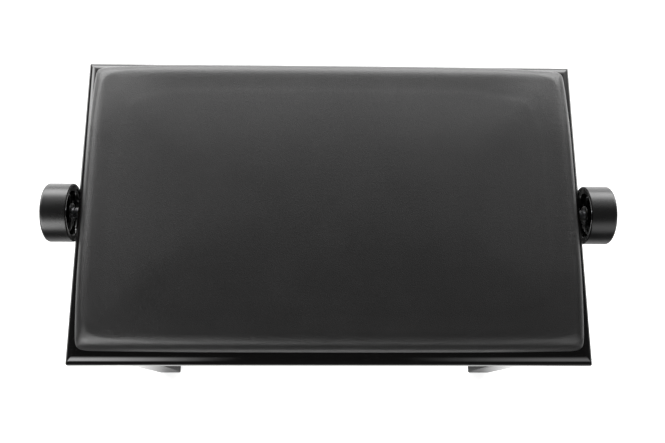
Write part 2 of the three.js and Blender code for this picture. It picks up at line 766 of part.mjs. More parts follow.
// Nut carriage: a square cross bar between the falling arms' lower ends, guided in the lower rails' slots
function crossBar() {
  const shoulder = innerArmInnerFace - RUNNING;
  const side = half(CROSS_BAR_SIDE);
  const pins = shoulderedBar(PIN_RADIUS, shoulder);
  const middle = block(-side, side, -shoulder, shoulder, -side, side);
  return join(pins, middle).translate(slidePivotX, 0, lowerPivotZ);
}

piece("cross_bar", crossBar(), zinc);

function guideBlock() {
  const inner = innerArmOuterFace + RUNNING;
  const face = railWebInnerY - RUNNING;
  const body = block(
    -half(GUIDE_LENGTH), half(GUIDE_LENGTH), inner, face,
    -half(GUIDE_HEIGHT), half(GUIDE_HEIGHT)
  );
  const tongue = block(
    -half(TONGUE_LENGTH), half(TONGUE_LENGTH), half(inner + face), railWebOuterY,
    -half(TONGUE_HEIGHT), half(TONGUE_HEIGHT)
  );
  const bore = bar(PIN_RADIUS + RUNNING, inner - OVERRUN, railWebOuterY + OVERRUN, "y");
  return cut(join(body, tongue), bore).translate(slidePivotX, 0, lowerPivotZ);
}

frontAndBack("guide_block", guideBlock(), nylon);

// Nut bracket: an upright plate welded to the cross bar, which holds the spindle nut above it
const nutBracketX = slidePivotX - half(CROSS_BAR_SIDE) - SEATED - half(NUT_BRACKET_THICKNESS);

function nutBracket() {
  const rise = spindleZ - lowerPivotZ;
  const halfWidth = half(NUT_BRACKET_WIDTH);
  const lean = Math.atan2(halfWidth - NUT_FLANGE_RADIUS, rise - NUT_BRACKET_SHOULDER);
  const outline = new THREE.Shape();
  outline.moveTo(-halfWidth, -half(CROSS_BAR_SIDE));
  outline.lineTo(halfWidth, -half(CROSS_BAR_SIDE));
  outline.lineTo(halfWidth, NUT_BRACKET_SHOULDER);
  outline.absarc(0, rise, NUT_FLANGE_RADIUS, half(lean), Math.PI - half(lean), false);
  outline.lineTo(-halfWidth, NUT_BRACKET_SHOULDER);
  outline.closePath();
  outline.holes.push(new THREE.Path().absarc(0, rise, NUT_BARREL_RADIUS + RUNNING, 0, 2 * Math.PI, true));
  const made = barYZ(outline, -half(NUT_BRACKET_THICKNESS), half(NUT_BRACKET_THICKNESS));
  return made.translate(nutBracketX, 0, lowerPivotZ);
}

function spindleNut() {
  const face = -half(NUT_BRACKET_THICKNESS) - SEATED;
  const bore = SPINDLE_RADIUS + RUNNING;
  const made = turned(
    [
      [bore, face - NUT_FLANGE_THICKNESS],
      [NUT_FLANGE_RADIUS, face - NUT_FLANGE_THICKNESS],
      [NUT_FLANGE_RADIUS, face],
      [NUT_BARREL_RADIUS, face],
      [NUT_BARREL_RADIUS, face + NUT_BARREL_LENGTH],
      [bore, face + NUT_BARREL_LENGTH],
      [bore, face - NUT_FLANGE_THICKNESS],
    ],
    "x"
  );
  return made.translate(nutBracketX, 0, spindleZ);
}

piece("nut_bracket", nutBracket(), blackSteel);
piece("spindle_nut", spindleNut(), bronze);

// Spindle, its bushes in the side aprons and the collars that take the thrust
const bushInnerX = apronInnerX - SEATED;
const collarOuterX = bushInnerX - RUNNING;
const collarInnerX = collarOuterX - COLLAR_LENGTH;

function spindle() {
  const end = knobInnerX + KNOB_GRIP_ON_SPINDLE;
  const shoulder = collarInnerX - SEATED;
  const halfProfile = [
    [0, end],
    [JOURNAL_RADIUS, end],
    [JOURNAL_RADIUS, shoulder],
    [SPINDLE_RADIUS, shoulder],
  ];
  const mirrored = halfProfile.map(([radius, along]) => [radius, -along]);
  return turned([...mirrored, ...halfProfile.reverse()], "x").translate(0, 0, spindleZ);
}

function bush() {
  const bore = JOURNAL_RADIUS + RUNNING;
  const flange = apronOuterX + SEATED;
  const made = turned(
    [
      [bore, bushInnerX],
      [BUSH_RADIUS, bushInnerX],
      [BUSH_RADIUS, flange],
      [BUSH_FLANGE_RADIUS, flange],
      [BUSH_FLANGE_RADIUS, flange + BUSH_FLANGE_THICKNESS],
      [bore, flange + BUSH_FLANGE_THICKNESS],
      [bore, bushInnerX],
    ],
    "x"
  );
  return made.translate(0, 0, spindleZ);
}

function collar() {
  const made = ring(JOURNAL_RADIUS + RUNNING, COLLAR_RADIUS, collarInnerX, collarOuterX, "x");
  return made.translate(0, 0, spindleZ);
}

piece("spindle", spindle(), zinc);
leftAndRight("spindle_bush", bush(), bronze);
leftAndRight("thrust_collar", collar(), zinc);

// Knob: its profile runs from the bore over the hub and dish to the rim, then round the outside
function knob() {
  const bore = JOURNAL_RADIUS + RUNNING;
  const blind = KNOB_GRIP_ON_SPINDLE + SEATED;
  const rimInner = KNOB_RADIUS - KNOB_RIM_CHAMFER - KNOB_RIM_WIDTH;
  const dishWall = rimInner - KNOB_STEP_WIDTH;
  const profile = [
    [0, blind],
    [bore, blind],
    [bore, KNOB_STEP_DEPTH],
    [KNOB_HUB_RADIUS - KNOB_HUB_ROUND, KNOB_STEP_DEPTH],
    [KNOB_HUB_RADIUS, KNOB_STEP_DEPTH + KNOB_HUB_ROUND],
  ];
  for (let step = 0; step <= FILLET_STEPS; step++) {
    const turn = (step / FILLET_STEPS) * half(Math.PI);
    profile.push([
      KNOB_HUB_RADIUS + KNOB_DISH_FILLET * (1 - Math.cos(turn)),
      KNOB_DISH_DEPTH - KNOB_DISH_FILLET * (1 - Math.sin(turn)),
    ]);
  }
  for (let step = 0; step <= FILLET_STEPS; step++) {
    const turn = (step / FILLET_STEPS) * half(Math.PI);
    profile.push([
      dishWall - KNOB_DISH_DRAFT - KNOB_DISH_FILLET * (1 - Math.sin(turn)),
      KNOB_DISH_DEPTH - KNOB_DISH_FILLET * (1 - Math.cos(turn)),
    ]);
  }
  profile.push([dishWall, KNOB_STEP_DEPTH], [rimInner, KNOB_STEP_DEPTH], [rimInner, 0]);
  profile.push([KNOB_RADIUS - KNOB_RIM_CHAMFER, 0], [KNOB_RADIUS, KNOB_RIM_CHAMFER]);
  for (let step = 0; step <= CORNER_STEPS; step++) {
    const turn = (step / CORNER_STEPS) * half(Math.PI);
    profile.push([
      KNOB_RADIUS - KNOB_OUTER_ROUND * (1 - Math.cos(turn)),
      KNOB_LENGTH - KNOB_OUTER_ROUND * (1 - Math.sin(turn)),
    ]);
  }
  profile.push([0, KNOB_LENGTH]);
  return turned(profile, "x", FINE).translate(knobInnerX, 0, spindleZ);
}

leftAndRight("knob", knob(), knobPlastic);

export default bench;
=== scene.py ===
# %% [markdown]
# # A keyboard bench that rises on a scissor lift
#
# The real object is a low wooden bench for a keyboard player. A black padded seat lies on a glossy black
# board. Under the board, inside a box of four aprons, two pairs of steel arms cross like scissors. A threaded
# spindle runs through the box from side to side, and turning either of its two round knobs lifts the seat.
#
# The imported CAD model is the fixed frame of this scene. It already holds every wooden, steel and turned piece
# at its true size. Blender adds what a plain solid can't carry: the finishes, the soft seat, smooth
# mouldings, the spindle's thread and the small screws. All lengths below are metres unless a comment says
# otherwise, and MM turns millimetres into metres.

# %% Load the frame
import json
import math

import bmesh
import bpy
from mathutils import Matrix, Vector


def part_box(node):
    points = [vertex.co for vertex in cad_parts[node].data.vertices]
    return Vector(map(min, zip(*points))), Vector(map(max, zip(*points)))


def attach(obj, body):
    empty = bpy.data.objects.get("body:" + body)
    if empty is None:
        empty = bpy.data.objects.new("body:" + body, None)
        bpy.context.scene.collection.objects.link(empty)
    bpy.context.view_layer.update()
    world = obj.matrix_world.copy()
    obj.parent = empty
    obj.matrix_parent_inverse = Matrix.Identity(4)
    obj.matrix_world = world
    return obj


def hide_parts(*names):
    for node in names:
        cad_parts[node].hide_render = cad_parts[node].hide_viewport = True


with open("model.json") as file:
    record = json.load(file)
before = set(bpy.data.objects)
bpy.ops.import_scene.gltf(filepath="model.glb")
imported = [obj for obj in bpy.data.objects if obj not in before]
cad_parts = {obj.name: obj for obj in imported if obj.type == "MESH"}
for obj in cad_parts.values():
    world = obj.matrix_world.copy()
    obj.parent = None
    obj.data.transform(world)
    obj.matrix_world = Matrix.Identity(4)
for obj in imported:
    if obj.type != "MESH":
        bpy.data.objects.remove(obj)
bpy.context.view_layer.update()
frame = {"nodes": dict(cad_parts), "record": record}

MM = 0.001
nodes = frame["nodes"]


def put_in_scene(name, data):
    made = bpy.data.objects.new(name, data)
    bpy.context.scene.collection.objects.link(made)
    return made


def set_fields(thing, fields):
    for field, value in fields.items():
        setattr(thing, field, value)


# %% [markdown]
# ## The camera
#
# The picture was taken from a ladder or a boom: almost straight above the bench, a little to the left and in
# front of it. The place, the tilt and the focal length come from a fit on the picture's own marks, which are
# the four edges of the board, both knobs and the front feet. Turning first about the upright axis, then
# tilting, then rolling gives three small angles that are easy to read.

# %% Camera
PICTURE_WIDTH_PX = 665
FOCAL_PX = 755.9
CAMERA_PLACE = Vector((-17.9, -217.7, 1259.3)) * MM
CAMERA_YAW = math.radians(-5.583)
CAMERA_TILT = math.radians(13.911)
CAMERA_ROLL = math.radians(5.715)

camera_data = bpy.data.cameras.new("camera")
camera_data.sensor_width = 36
camera_data.lens = 36 * FOCAL_PX / PICTURE_WIDTH_PX
camera = put_in_scene("camera", camera_data)
camera.matrix_world = (
    Matrix.Translation(CAMERA_PLACE)
    @ Matrix.Rotation(CAMERA_YAW, 4, "Z")
    @ Matrix.Rotation(CAMERA_TILT, 4, "X")
    @ Matrix.Rotation(CAMERA_ROLL, 4, "Z")
)
bpy.context.scene.camera = camera
bpy.context.scene.view_settings.view_transform = "Standard"
print(f"lens {camera_data.lens:.1f} mm, {CAMERA_PLACE.z:.2f} m above the floor")

# %% [markdown]
# ## Node helpers
#
# Finishes are networks of shader nodes, and later the thread and the screws are networks of geometry nodes.
# A few helpers keep them short. The first joins an output to an input, or writes a plain value into it. The
# next ones make a node, do sums, split and join vectors, read noise and mix colours. The last two open a
# finish, and give it its colour, roughness and relief.

# %% Helpers for shader nodes
def feed(tree, target, source):
    if isinstance(source, bpy.types.NodeSocket):
        tree.links.new(source, target)
    else:
        target.default_value = source


def named(node, name):
    """The input of that name which the node's present mode shows."""
    return next(socket for socket in node.inputs if socket.name == name and socket.enabled)


def add_node(tree, kind, feeds=None, **fields):
    """A new node. Its fields are set first, because they decide which inputs it shows."""
    node = tree.nodes.new(kind)
    set_fields(node, fields)
    for socket, source in (feeds or {}).items():
        feed(tree, named(node, socket) if isinstance(socket, str) else node.inputs[socket], source)
    return node


def math_node(tree, operation, a, b=0.0):
    return add_node(tree, "ShaderNodeMath", {0: a, 1: b}, operation=operation).outputs[0]


def product(tree, first, *others):
    for other in others:
        first = math_node(tree, "MULTIPLY", first, other)
    return first


def map_range(tree, value, low, high, to_low, to_high, smooth=False):
    feeds = {"Value": value, "From Min": low, "From Max": high, "To Min": to_low, "To Max": to_high}
    kind = "SMOOTHSTEP" if smooth else "LINEAR"
    return add_node(tree, "ShaderNodeMapRange", feeds, interpolation_type=kind).outputs["Result"]


def ramp(tree, value, low, high):
    """A soft step from 0 at low to 1 at high."""
    return map_range(tree, value, low, high, 0.0, 1.0, smooth=True)


def split(tree, vector):
    """The parts X, Y and Z of a vector."""
    return add_node(tree, "ShaderNodeSeparateXYZ", {0: vector}).outputs


def vector_of(tree, x, y, z):
    return add_node(tree, "ShaderNodeCombineXYZ", {0: x, 1: y, 2: z}).outputs[0]


def vector_math(tree, operation, feeds):
    return add_node(tree, "ShaderNodeVectorMath", feeds, operation=operation).outputs[0]


def noise(tree, vector, scale, detail=2.0):
    """The outputs of a noise texture: first its value, then its colour."""
    return add_node(tree, "ShaderNodeTexNoise", {"Vector": vector, "Scale": scale, "Detail": detail}).outputs


def mix_colour(tree, share, a, b):
    return add_node(tree, "ShaderNodeMix", {"Factor": share, 6: a, 7: b}, data_type="RGBA").outputs[2]


def open_finish(name, **sockets):
    finish = bpy.data.materials.new(name)
    finish.use_nodes = True
    tree = finish.node_tree
    shader = tree.nodes["Principled BSDF"]
    for socket, value in sockets.items():
        shader.inputs[socket.replace("_", " ")].default_value = value
    place = add_node(tree, "ShaderNodeTexCoord").outputs["Object"]
    return finish, tree, shader, place


def dress(tree, shader, colour, roughness, height, distance):
    """Feeds a finish its colour, its roughness and a relief that is the given distance high."""
    feed(tree, shader.inputs["Base Color"], colour)
    feed(tree, shader.inputs["Roughness"], roughness)
    relief = add_node(tree, "ShaderNodeBump", {"Strength": 1.0, "Distance": distance, "Height": height})
    feed(tree, shader.inputs["Normal"], relief.outputs["Normal"])


print("node helpers ready")

# %% [markdown]
# ## Floor
#
# The bench stands on a sheet of matt white paper that reaches far behind it and ends about a metre in front
# of it and at its sides. The paper also glows a little for the camera, so that it comes out white, and up to
# white for rays that come from a reflection. It glows for nothing else, so it lights no matt face and keeps
# the bench's shadow. For reflections only, the paper's light and shade are painted, after what the knobs and
# the edges of board and cushion mirror. Its glow is bright close to the bench and behind it, and dimmer at
# the sides and far in front. Right under the seat its colour is also darkened, a painted shadow of the bench.

# %% Floor
PAPER_FRONT, PAPER_BACK, PAPER_SIDE = -0.97, 4.0, 1.37
VIEW_GLOW = 0.55
PAPER_WHITE, PAPER_PAINTED_SHADE = (0.9, 0.9, 0.9, 1), (0.05, 0.05, 0.05, 1)
# Mirrored paper shows painted light and shade that change between these places, measured from the middle of the
# bench.
UNDER_SEAT_X, UNDER_SEAT_Y = (0.22, 0.36), (0.13, 0.27)
FAR_IN_FRONT, BEHIND_BENCH = (-0.85, -0.25), (0.20, 0.32)
AT_THE_SIDES, SIDE_SHARE = (0.30, 0.45), 0.38


def painted_mirror_light(tree):
    """The painted brightness that a reflection sees on the paper: 0 under the bench, a painted shadow, and 1
    close to it and behind it.
    """
    x, y, _ = split(tree, add_node(tree, "ShaderNodeTexCoord").outputs["Object"])
    sideways = math_node(tree, "ABSOLUTE", x)
    open_floor = math_node(tree, "MAXIMUM", ramp(tree, sideways, *UNDER_SEAT_X),
                           ramp(tree, math_node(tree, "ABSOLUTE", y), *UNDER_SEAT_Y))
    sides = map_range(tree, sideways, *AT_THE_SIDES, 1.0, SIDE_SHARE, smooth=True)
    sides_or_behind = math_node(tree, "MAXIMUM", sides, ramp(tree, y, *BEHIND_BENCH))
    return product(tree, ramp(tree, y, *FAR_IN_FRONT), sides_or_behind, open_floor)


def mirrored_ray(tree):
    """The outputs that tell the kind of ray, and 1 where it comes from a reflection or through glass."""
    path = add_node(tree, "ShaderNodeLightPath").outputs
    return path, math_node(tree, "MAXIMUM", path["Is Glossy Ray"], path["Is Transmission Ray"])


def make_paper():
    paper = bpy.data.materials.new("white_paper")
    paper.use_nodes = True
    tree = paper.node_tree
    tree.nodes.clear()
    path, mirrored = mirrored_ray(tree)
    share = painted_mirror_light(tree)
    seen = product(tree, path["Is Camera Ray"], VIEW_GLOW)
    # Reflections see a painted glow here, and under the seat a painted shadow that darkens the paper's colour.
    strength = math_node(tree, "MAXIMUM", seen, product(tree, mirrored, share))
    painted_shade = product(tree, mirrored, math_node(tree, "SUBTRACT", 1.0, share))
    glow = add_node(tree, "ShaderNodeEmission", {"Strength": strength})
    matt = add_node(tree, "ShaderNodeBsdfDiffuse",
                    {"Color": mix_colour(tree, painted_shade, PAPER_WHITE, PAPER_PAINTED_SHADE)})
    both = add_node(tree, "ShaderNodeAddShader", {0: matt.outputs[0], 1: glow.outputs[0]})
    add_node(tree, "ShaderNodeOutputMaterial", {"Surface": both.outputs[0]})
    return paper


def make_floor():
    mesh = bpy.data.meshes.new("floor")
    mesh.from_pydata([(-PAPER_SIDE, PAPER_FRONT, 0), (PAPER_SIDE, PAPER_FRONT, 0),
                      (PAPER_SIDE, PAPER_BACK, 0), (-PAPER_SIDE, PAPER_BACK, 0)], [], [(0, 1, 2, 3)])
    mesh.materials.append(make_paper())
    floor = put_in_scene("floor", mesh)
    return floor


floor = make_floor()
print(floor.name, f"{2 * PAPER_SIDE:.1f} m wide")

# %% [markdown]
# ## Light
#
# Black gloss shows its surroundings more than its own colour, so the studio decides the look. The reflections
# in the knobs and in the board's rounded edge tell where it was bright. A wide low glow stands behind the
# bench, with a narrow wing on the left and a weak fade that climbs nearly overhead. Two soft screens stand in
# front, a strong one on the left and a weak one on the right, and straight above it is dark. The world paints
# them all by direction: each has an angle round the bench and an elevation, and fades at its borders. The
# camera sees an even light grey instead, and reflections see the backdrop wherever the glow is weaker.

# %% World
SCREENS = [
    # strength, side of the bench, four angles round it, four elevations, all angles in degrees
    (6.0, "back", (-64, -56, 44, 68), (-4, 2, 16, 40)),
    (8.0, "back", (-76, -62, -64, -56), (5, 13, 24, 42)),
    (1.6, "back", (-76, -50, 40, 70), (-4, 10, 26, 76)),
    (7.2, "front", (-72, -56, -26, -8), (0, 15, 26, 50)),
    (2.1, "front", (8, 26, 56, 72), (0, 15, 26, 50)),
]
BACKDROP = (1.0, "back", (-60, -52, 52, 80), (-89, -88, 20, 34))
AMBIENT = 0.08


def faded_band(tree, angle, rise_from, rise_to, fall_from, fall_to):
    """1 between two angles in degrees, fading to 0 over the given borders."""
    fall = map_range(tree, angle, fall_from, fall_to, 1.0, 0.0, smooth=True)
    return product(tree, ramp(tree, angle, rise_from, rise_to), fall)


def make_world():
    world = bpy.data.worlds.new("studio")
    world.use_nodes = True
    tree = world.node_tree
    tree.nodes.clear()
    x, y, z = split(tree, add_node(tree, "ShaderNodeTexCoord").outputs["Generated"])
    elevation = math_node(tree, "DEGREES", math_node(tree, "ARCSINE", z))
    turned = {"back": math_node(tree, "DEGREES", math_node(tree, "ARCTAN2", x, y)),
              "front": math_node(tree, "DEGREES", math_node(tree, "ARCTAN2", x, product(tree, y, -1.0)))}

    def screen(strength, side, angles, heights):
        sideways, upward = faded_band(tree, turned[side], *angles), faded_band(tree, elevation, *heights)
        return product(tree, sideways, upward, strength)

    total = AMBIENT
    for described in SCREENS:
        total = math_node(tree, "ADD", screen(*described), total)
    path, mirrored = mirrored_ray(tree)
    total = math_node(tree, "MAXIMUM", total, product(tree, screen(*BACKDROP), mirrored))
    strength = map_range(tree, path["Is Camera Ray"], 0.0, 1.0, total, 1.0)
    backdrop = add_node(tree, "ShaderNodeBackground", {"Strength": strength})
    add_node(tree, "ShaderNodeOutputWorld", {"Surface": backdrop.outputs[0]})
    bpy.context.scene.world = world


make_world()
print(len(SCREENS), "soft screens in the world")

# %% [markdown]
# ## Lamp
#
# One real lamp stands inside the back glow. It is wide and soft, and it gives the bench its faint shadow on
# the paper and the wooden faces at the back a direction of light.

# %% Back lamp
LAMP_AIM = Vector((0, 0, 440)) * MM
LAMP_TURN, LAMP_RISE, LAMP_DISTANCE = math.radians(-15), math.radians(20), 3.0

lamp_data = bpy.data.lights.new("lamp_back", "AREA")
lamp_data.shape = "RECTANGLE"
lamp_data.size, lamp_data.size_y, lamp_data.energy = 2.4, 0.9, 8
lamp = put_in_scene("lamp_back", lamp_data)
way = Vector((math.sin(LAMP_TURN) * math.cos(LAMP_RISE), math.cos(LAMP_TURN) * math.cos(LAMP_RISE),
              math.sin(LAMP_RISE)))
lamp.matrix_world = (Matrix.Translation(LAMP_AIM + way * LAMP_DISTANCE)
                     @ way.to_track_quat("Z", "Y").to_matrix().to_4x4())
print(lamp.name, lamp.data.energy, "W")

# %% [markdown]
# ## Effects that several finishes share
#
# A clean surface is never quite even. The first group gives soft blotches between two values, for roughness,
# colour or a shallow relief. The second gives fine specks of dust that settle on faces that look upwards.
# Each is built once, with named inputs, and used by many finishes at its own scale.

# %% Shared shader groups
def open_group(name, inputs, outputs, kind="ShaderNodeTree"):
    group = bpy.data.node_groups.new(name, kind)
    for label, socket_type, *value in inputs:
        socket = group.interface.new_socket(label, in_out="INPUT", socket_type=socket_type)
        if value:
            socket.default_value = value[0]
    for label, socket_type in outputs:
        group.interface.new_socket(label, in_out="OUTPUT", socket_type=socket_type)
    start = add_node(group, "NodeGroupInput")
    end = add_node(group, "NodeGroupOutput")
    return group, start.outputs, end.inputs


VALUE, VECTOR = "NodeSocketFloat", "NodeSocketVector"


def build_blotches():
    group, given, result = open_group(
        "blotches",
        [("Vector", VECTOR), ("Spots per metre", VALUE, 50.0), ("Detail", VALUE, 3.0),
         ("Low", VALUE, 0.0), ("High", VALUE, 1.0)],
        [("Value", VALUE)],
    )
    cloud = noise(group, given["Vector"], given["Spots per metre"], given["Detail"])[0]
    feed(group, result["Value"], map_range(group, cloud, 0.3, 0.7, given["Low"], given["High"]))
    return group


def build_dust():
    group, given, result = open_group(
        "dust", [("Vector", VECTOR), ("Amount", VALUE, 0.1)], [("Mask", VALUE)]
    )
    specks = map_range(group, noise(group, given["Vector"], 900.0)[0], 0.62, 0.72, 0.0, 1.0)
    facing = split(group, add_node(group, "ShaderNodeNewGeometry").outputs["Normal"])["Z"]
    upward = map_range(group, facing, 0.3, 0.9, 0.0, 1.0)
    feed(group, result["Mask"], product(group, specks, upward, given["Amount"]))
    return group


blotch_group = build_blotches()
dust_group = build_dust()


def blotches(tree, place, spots, low=0.0, high=1.0, detail=3.0):
    feeds = {"Vector": place, "Spots per metre": spots, "Detail": detail, "Low": low, "High": high}
    return add_node(tree, "ShaderNodeGroup", feeds, node_tree=blotch_group).outputs["Value"]


def dust(tree, place, amount):
    feeds = {"Vector": place, "Amount": amount}
    return add_node(tree, "ShaderNodeGroup", feeds, node_tree=dust_group).outputs["Mask"]


print("groups:", blotch_group.name, dust_group.name)

# %% [markdown]
# ## Black lacquer
#
# The board, aprons and legs are sprayed with black polyester lacquer and polished. The real film is nearly a
# mirror, with a faint long wave in it and a few specks of dust. A plain Principled shader does it: almost
# black, very smooth, with blotches in the roughness and a shallow wide relief.

# %% Lacquer
def make_lacquer():
    finish, tree, shader, place = open_finish("black_lacquer", IOR=1.5, Specular_IOR_Level=0.7)
    settled = dust(tree, place, 0.10)
    colour = mix_colour(tree, settled, (0.0016, 0.0014, 0.0014, 1), (0.20, 0.19, 0.18, 1))
    roughness = math_node(tree, "ADD", blotches(tree, place, 14.0, 0.045, 0.075), settled)
    dress(tree, shader, colour, roughness, blotches(tree, place, 55.0, detail=1.0), 0.00002)
    return finish


lacquer = make_lacquer()
print(lacquer.name)

# %% [markdown]
# ## Leatherette
#
# The seat's cover is smooth black artificial leather, embossed with a very fine pebble grain. Cells of a
# Voronoi pattern make the pebbles and the creases between them, and where the cover is pulled over the
# cushion's edges fine puckers run square to the edge. Both go into one bump, and the creases also get a
# painted shade that darkens the colour there.

# %% Leatherette
def build_leather_grain():
    group, given, result = open_group(
        "leather_grain",
        [("Vector", VECTOR), ("Pebbles per metre", VALUE, 900.0)],
        [("Height", VALUE), ("Crease", VALUE)],
    )
    bend = noise(group, given["Vector"], 350.0)["Color"]
    shift = vector_math(group, "SCALE", {0: bend, "Scale": 0.0012})
    bent = vector_math(group, "ADD", {0: given["Vector"], 1: shift})
    cells = add_node(group, "ShaderNodeTexVoronoi", {"Vector": bent, "Scale": given["Pebbles per metre"]},
                     feature="DISTANCE_TO_EDGE")
    pebble = ramp(group, cells.outputs["Distance"], 0.0, 0.28)
    feed(group, result["Height"], pebble)
    feed(group, result["Crease"], math_node(group, "SUBTRACT", 1.0, pebble))
    return group


leather_grain_group = build_leather_grain()
RIPPLES_ALONG, RIPPLES_ACROSS = 300.0, 26.0
PULLED_X, PULLED_Y, PULLED_WIDTH = 268 * MM, 160 * MM, 34 * MM


def pulled_edges(tree, place):
    """Ripples that run square to the nearest edge, only close to it."""
    parts, total = split(tree, place), 0.0
    for along, across, reach in (("X", "Y", PULLED_Y), ("Y", "X", PULLED_X)):
        stretched = vector_of(tree, product(tree, parts[along], RIPPLES_ALONG),
                              product(tree, parts[across], RIPPLES_ACROSS), 0.0)
        ripple = noise(tree, stretched, 1.0, 1.5)[0]
        near = ramp(tree, math_node(tree, "ABSOLUTE", parts[across]),
                    reach - PULLED_WIDTH, reach - 0.25 * PULLED_WIDTH)
        total = math_node(tree, "ADD", product(tree, ripple, near), total)
    return total


def make_leatherette():
    finish, tree, shader, place = open_finish("black_leatherette", IOR=1.5, Specular_IOR_Level=0.8)
    grain = add_node(tree, "ShaderNodeGroup", {"Vector": place, "Pebbles per metre": 720.0},
                     node_tree=leather_grain_group).outputs
    uneven = blotches(tree, place, 9.0)
    plain = mix_colour(tree, uneven, (0.0085, 0.0082, 0.0082, 1), (0.0105, 0.0101, 0.0100, 1))
    # Painted shade: the colour is darkened in the creases between the pebbles.
    colour = mix_colour(tree, product(tree, grain["Crease"], 0.35), plain, (0.0070, 0.0068, 0.0068, 1))
    puckers = product(tree, pulled_edges(tree, place), 1.6)
    relief = math_node(tree, "ADD", product(tree, grain["Height"], 0.8), puckers)
    dress(tree, shader, colour, blotches(tree, place, 22.0, 0.355, 0.385), relief, 0.00008)
    return finish


leatherette = make_leatherette()
print(leatherette.name)

# %% [markdown]
# ## Moulded plastics
#
# The knobs are black moulded plastic with two surfaces. The side and the end are satin, from a lightly etched
# mould, and the dish that faces the bench is polished. One recipe makes both, each with its own roughness and
# size of relief, and also the pale nylon of the lift's rollers and guide blocks.

# %% Plastics
def make_plastic(name, colour, rough_low, rough_high, spots, relief):
    finish, tree, shader, place = open_finish(name, IOR=1.5, Specular_IOR_Level=0.7)
    dusty = mix_colour(tree, dust(tree, place, 0.06), colour, (0.16, 0.15, 0.14, 1))
    dress(tree, shader, dusty, blotches(tree, place, 60.0, rough_low, rough_high),
          blotches(tree, place, spots, detail=2.0), relief)
    return finish


satin_plastic = make_plastic("satin_knob_plastic", (0.006, 0.006, 0.006, 1), 0.26, 0.31, 2600.0, 0.00001)
polished_plastic = make_plastic("polished_knob_plastic", (0.005, 0.005, 0.005, 1), 0.07, 0.10, 90.0, 0.000012)
nylon = make_plastic("natural_nylon", (0.62, 0.60, 0.53, 1), 0.40, 0.52, 700.0, 0.00002)
print(satin_plastic.name, polished_plastic.name, nylon.name)

# %% [markdown]
# ## Metals
#
# Rails and arms are powder coated: satin black with a fine orange-peel skin. Pins, bolts and the spindle are
# bright zinc plate, which is a soft silver with cloudy patches. The nut and bushes are machined bronze, with
# turning marks so fine that they only blur the shine.

# %% Powder coat, zinc and bronze
def make_powder_coat():
    finish, tree, shader, place = open_finish("black_powder_coat", IOR=1.5)
    dusty = mix_colour(tree, dust(tree, place, 0.15), (0.014, 0.014, 0.015, 1), (0.18, 0.17, 0.16, 1))
    dress(tree, shader, dusty, blotches(tree, place, 45.0, 0.36, 0.46),
          blotches(tree, place, 1100.0, detail=1.0), 0.00004)
    return finish


def make_metal(name, dark, light, rough_low, rough_high, spots):
    finish, tree, shader, place = open_finish(name, Metallic=1.0)
    cloudy = mix_colour(tree, blotches(tree, place, spots, detail=5.0), dark, light)
    dress(tree, shader, cloudy, blotches(tree, place, 3.0 * spots, rough_low, rough_high),
          blotches(tree, place, 1500.0, detail=1.0), 0.000012)
    return finish


powder_coat = make_powder_coat()
zinc_plate = make_metal("bright_zinc_plate", (0.46, 0.46, 0.47, 1), (0.62, 0.63, 0.66, 1), 0.22, 0.36, 70.0)
bronze = make_metal("machined_bronze", (0.40, 0.25, 0.09, 1), (0.56, 0.37, 0.15, 1), 0.24, 0.38, 60.0)
print(powder_coat.name, zinc_plate.name, bronze.name)

# %% [markdown]
# ## Raw wood and felt
#
# The cleats that carry the rails are raw beech, which shows short brown flecks in a pale straight grain. The
# seat panel is plywood: long grain on its faces and thin bands of dark and pale veneer on its edges. The
# glides under the legs are pressed felt, a dense mat of short hairs.

# %% Beech, plywood and felt
def build_wood_grain():
    group, given, result = open_group(
        "wood_grain",
        [("Vector", VECTOR), ("Lines per metre", VALUE, 250.0), ("Stretch", VALUE, 0.05)],
        [("Grain", VALUE), ("Fleck", VALUE)],
    )
    stretch = vector_of(group, given["Stretch"], 1.0, 1.0)
    along = vector_math(group, "MULTIPLY", {0: given["Vector"], 1: stretch})
    for label, factor, low, high in (("Grain", 1.0, 0.3, 0.7), ("Fleck", 4.0, 0.60, 0.72)):
        streaks = noise(group, along, product(group, given["Lines per metre"], factor), 4.0)[0]
        feed(group, result[label], map_range(group, streaks, low, high, 0.0, 1.0))
    return group


wood_grain_group = build_wood_grain()


def make_raw_wood(name, pale, dark, fleck, lines, ply=0.0):
    finish, tree, shader, place = open_finish(name)
    grain = add_node(tree, "ShaderNodeGroup", {"Vector": place, "Lines per metre": lines, "Stretch": 0.06},
                     node_tree=wood_grain_group).outputs
    colour = mix_colour(tree, grain["Grain"], pale, dark)
    colour = mix_colour(tree, product(tree, grain["Fleck"], 0.5), colour, fleck)
    if ply:
        facing = split(tree, add_node(tree, "ShaderNodeNewGeometry").outputs["Normal"])["Z"]
        edge = math_node(tree, "LESS_THAN", math_node(tree, "ABSOLUTE", facing), 0.5)
        layer = math_node(tree, "PINGPONG", split(tree, place)["Z"], ply)
        dark_layer = math_node(tree, "GREATER_THAN", layer, 0.5 * ply)
        colour = mix_colour(tree, product(tree, edge, dark_layer), colour, fleck)
    dress(tree, shader, colour, blotches(tree, place, 80.0, 0.58, 0.74), grain["Grain"], 0.00005)
    return finish


def make_felt():
    finish, tree, shader, place = open_finish("pressed_felt", Sheen_Weight=0.3)
    hairs = blotches(tree, place, 1800.0, detail=4.0)
    colour = mix_colour(tree, hairs, (0.022, 0.020, 0.018, 1), (0.055, 0.050, 0.045, 1))
    dress(tree, shader, colour, 0.95, hairs, 0.0002)
    return finish


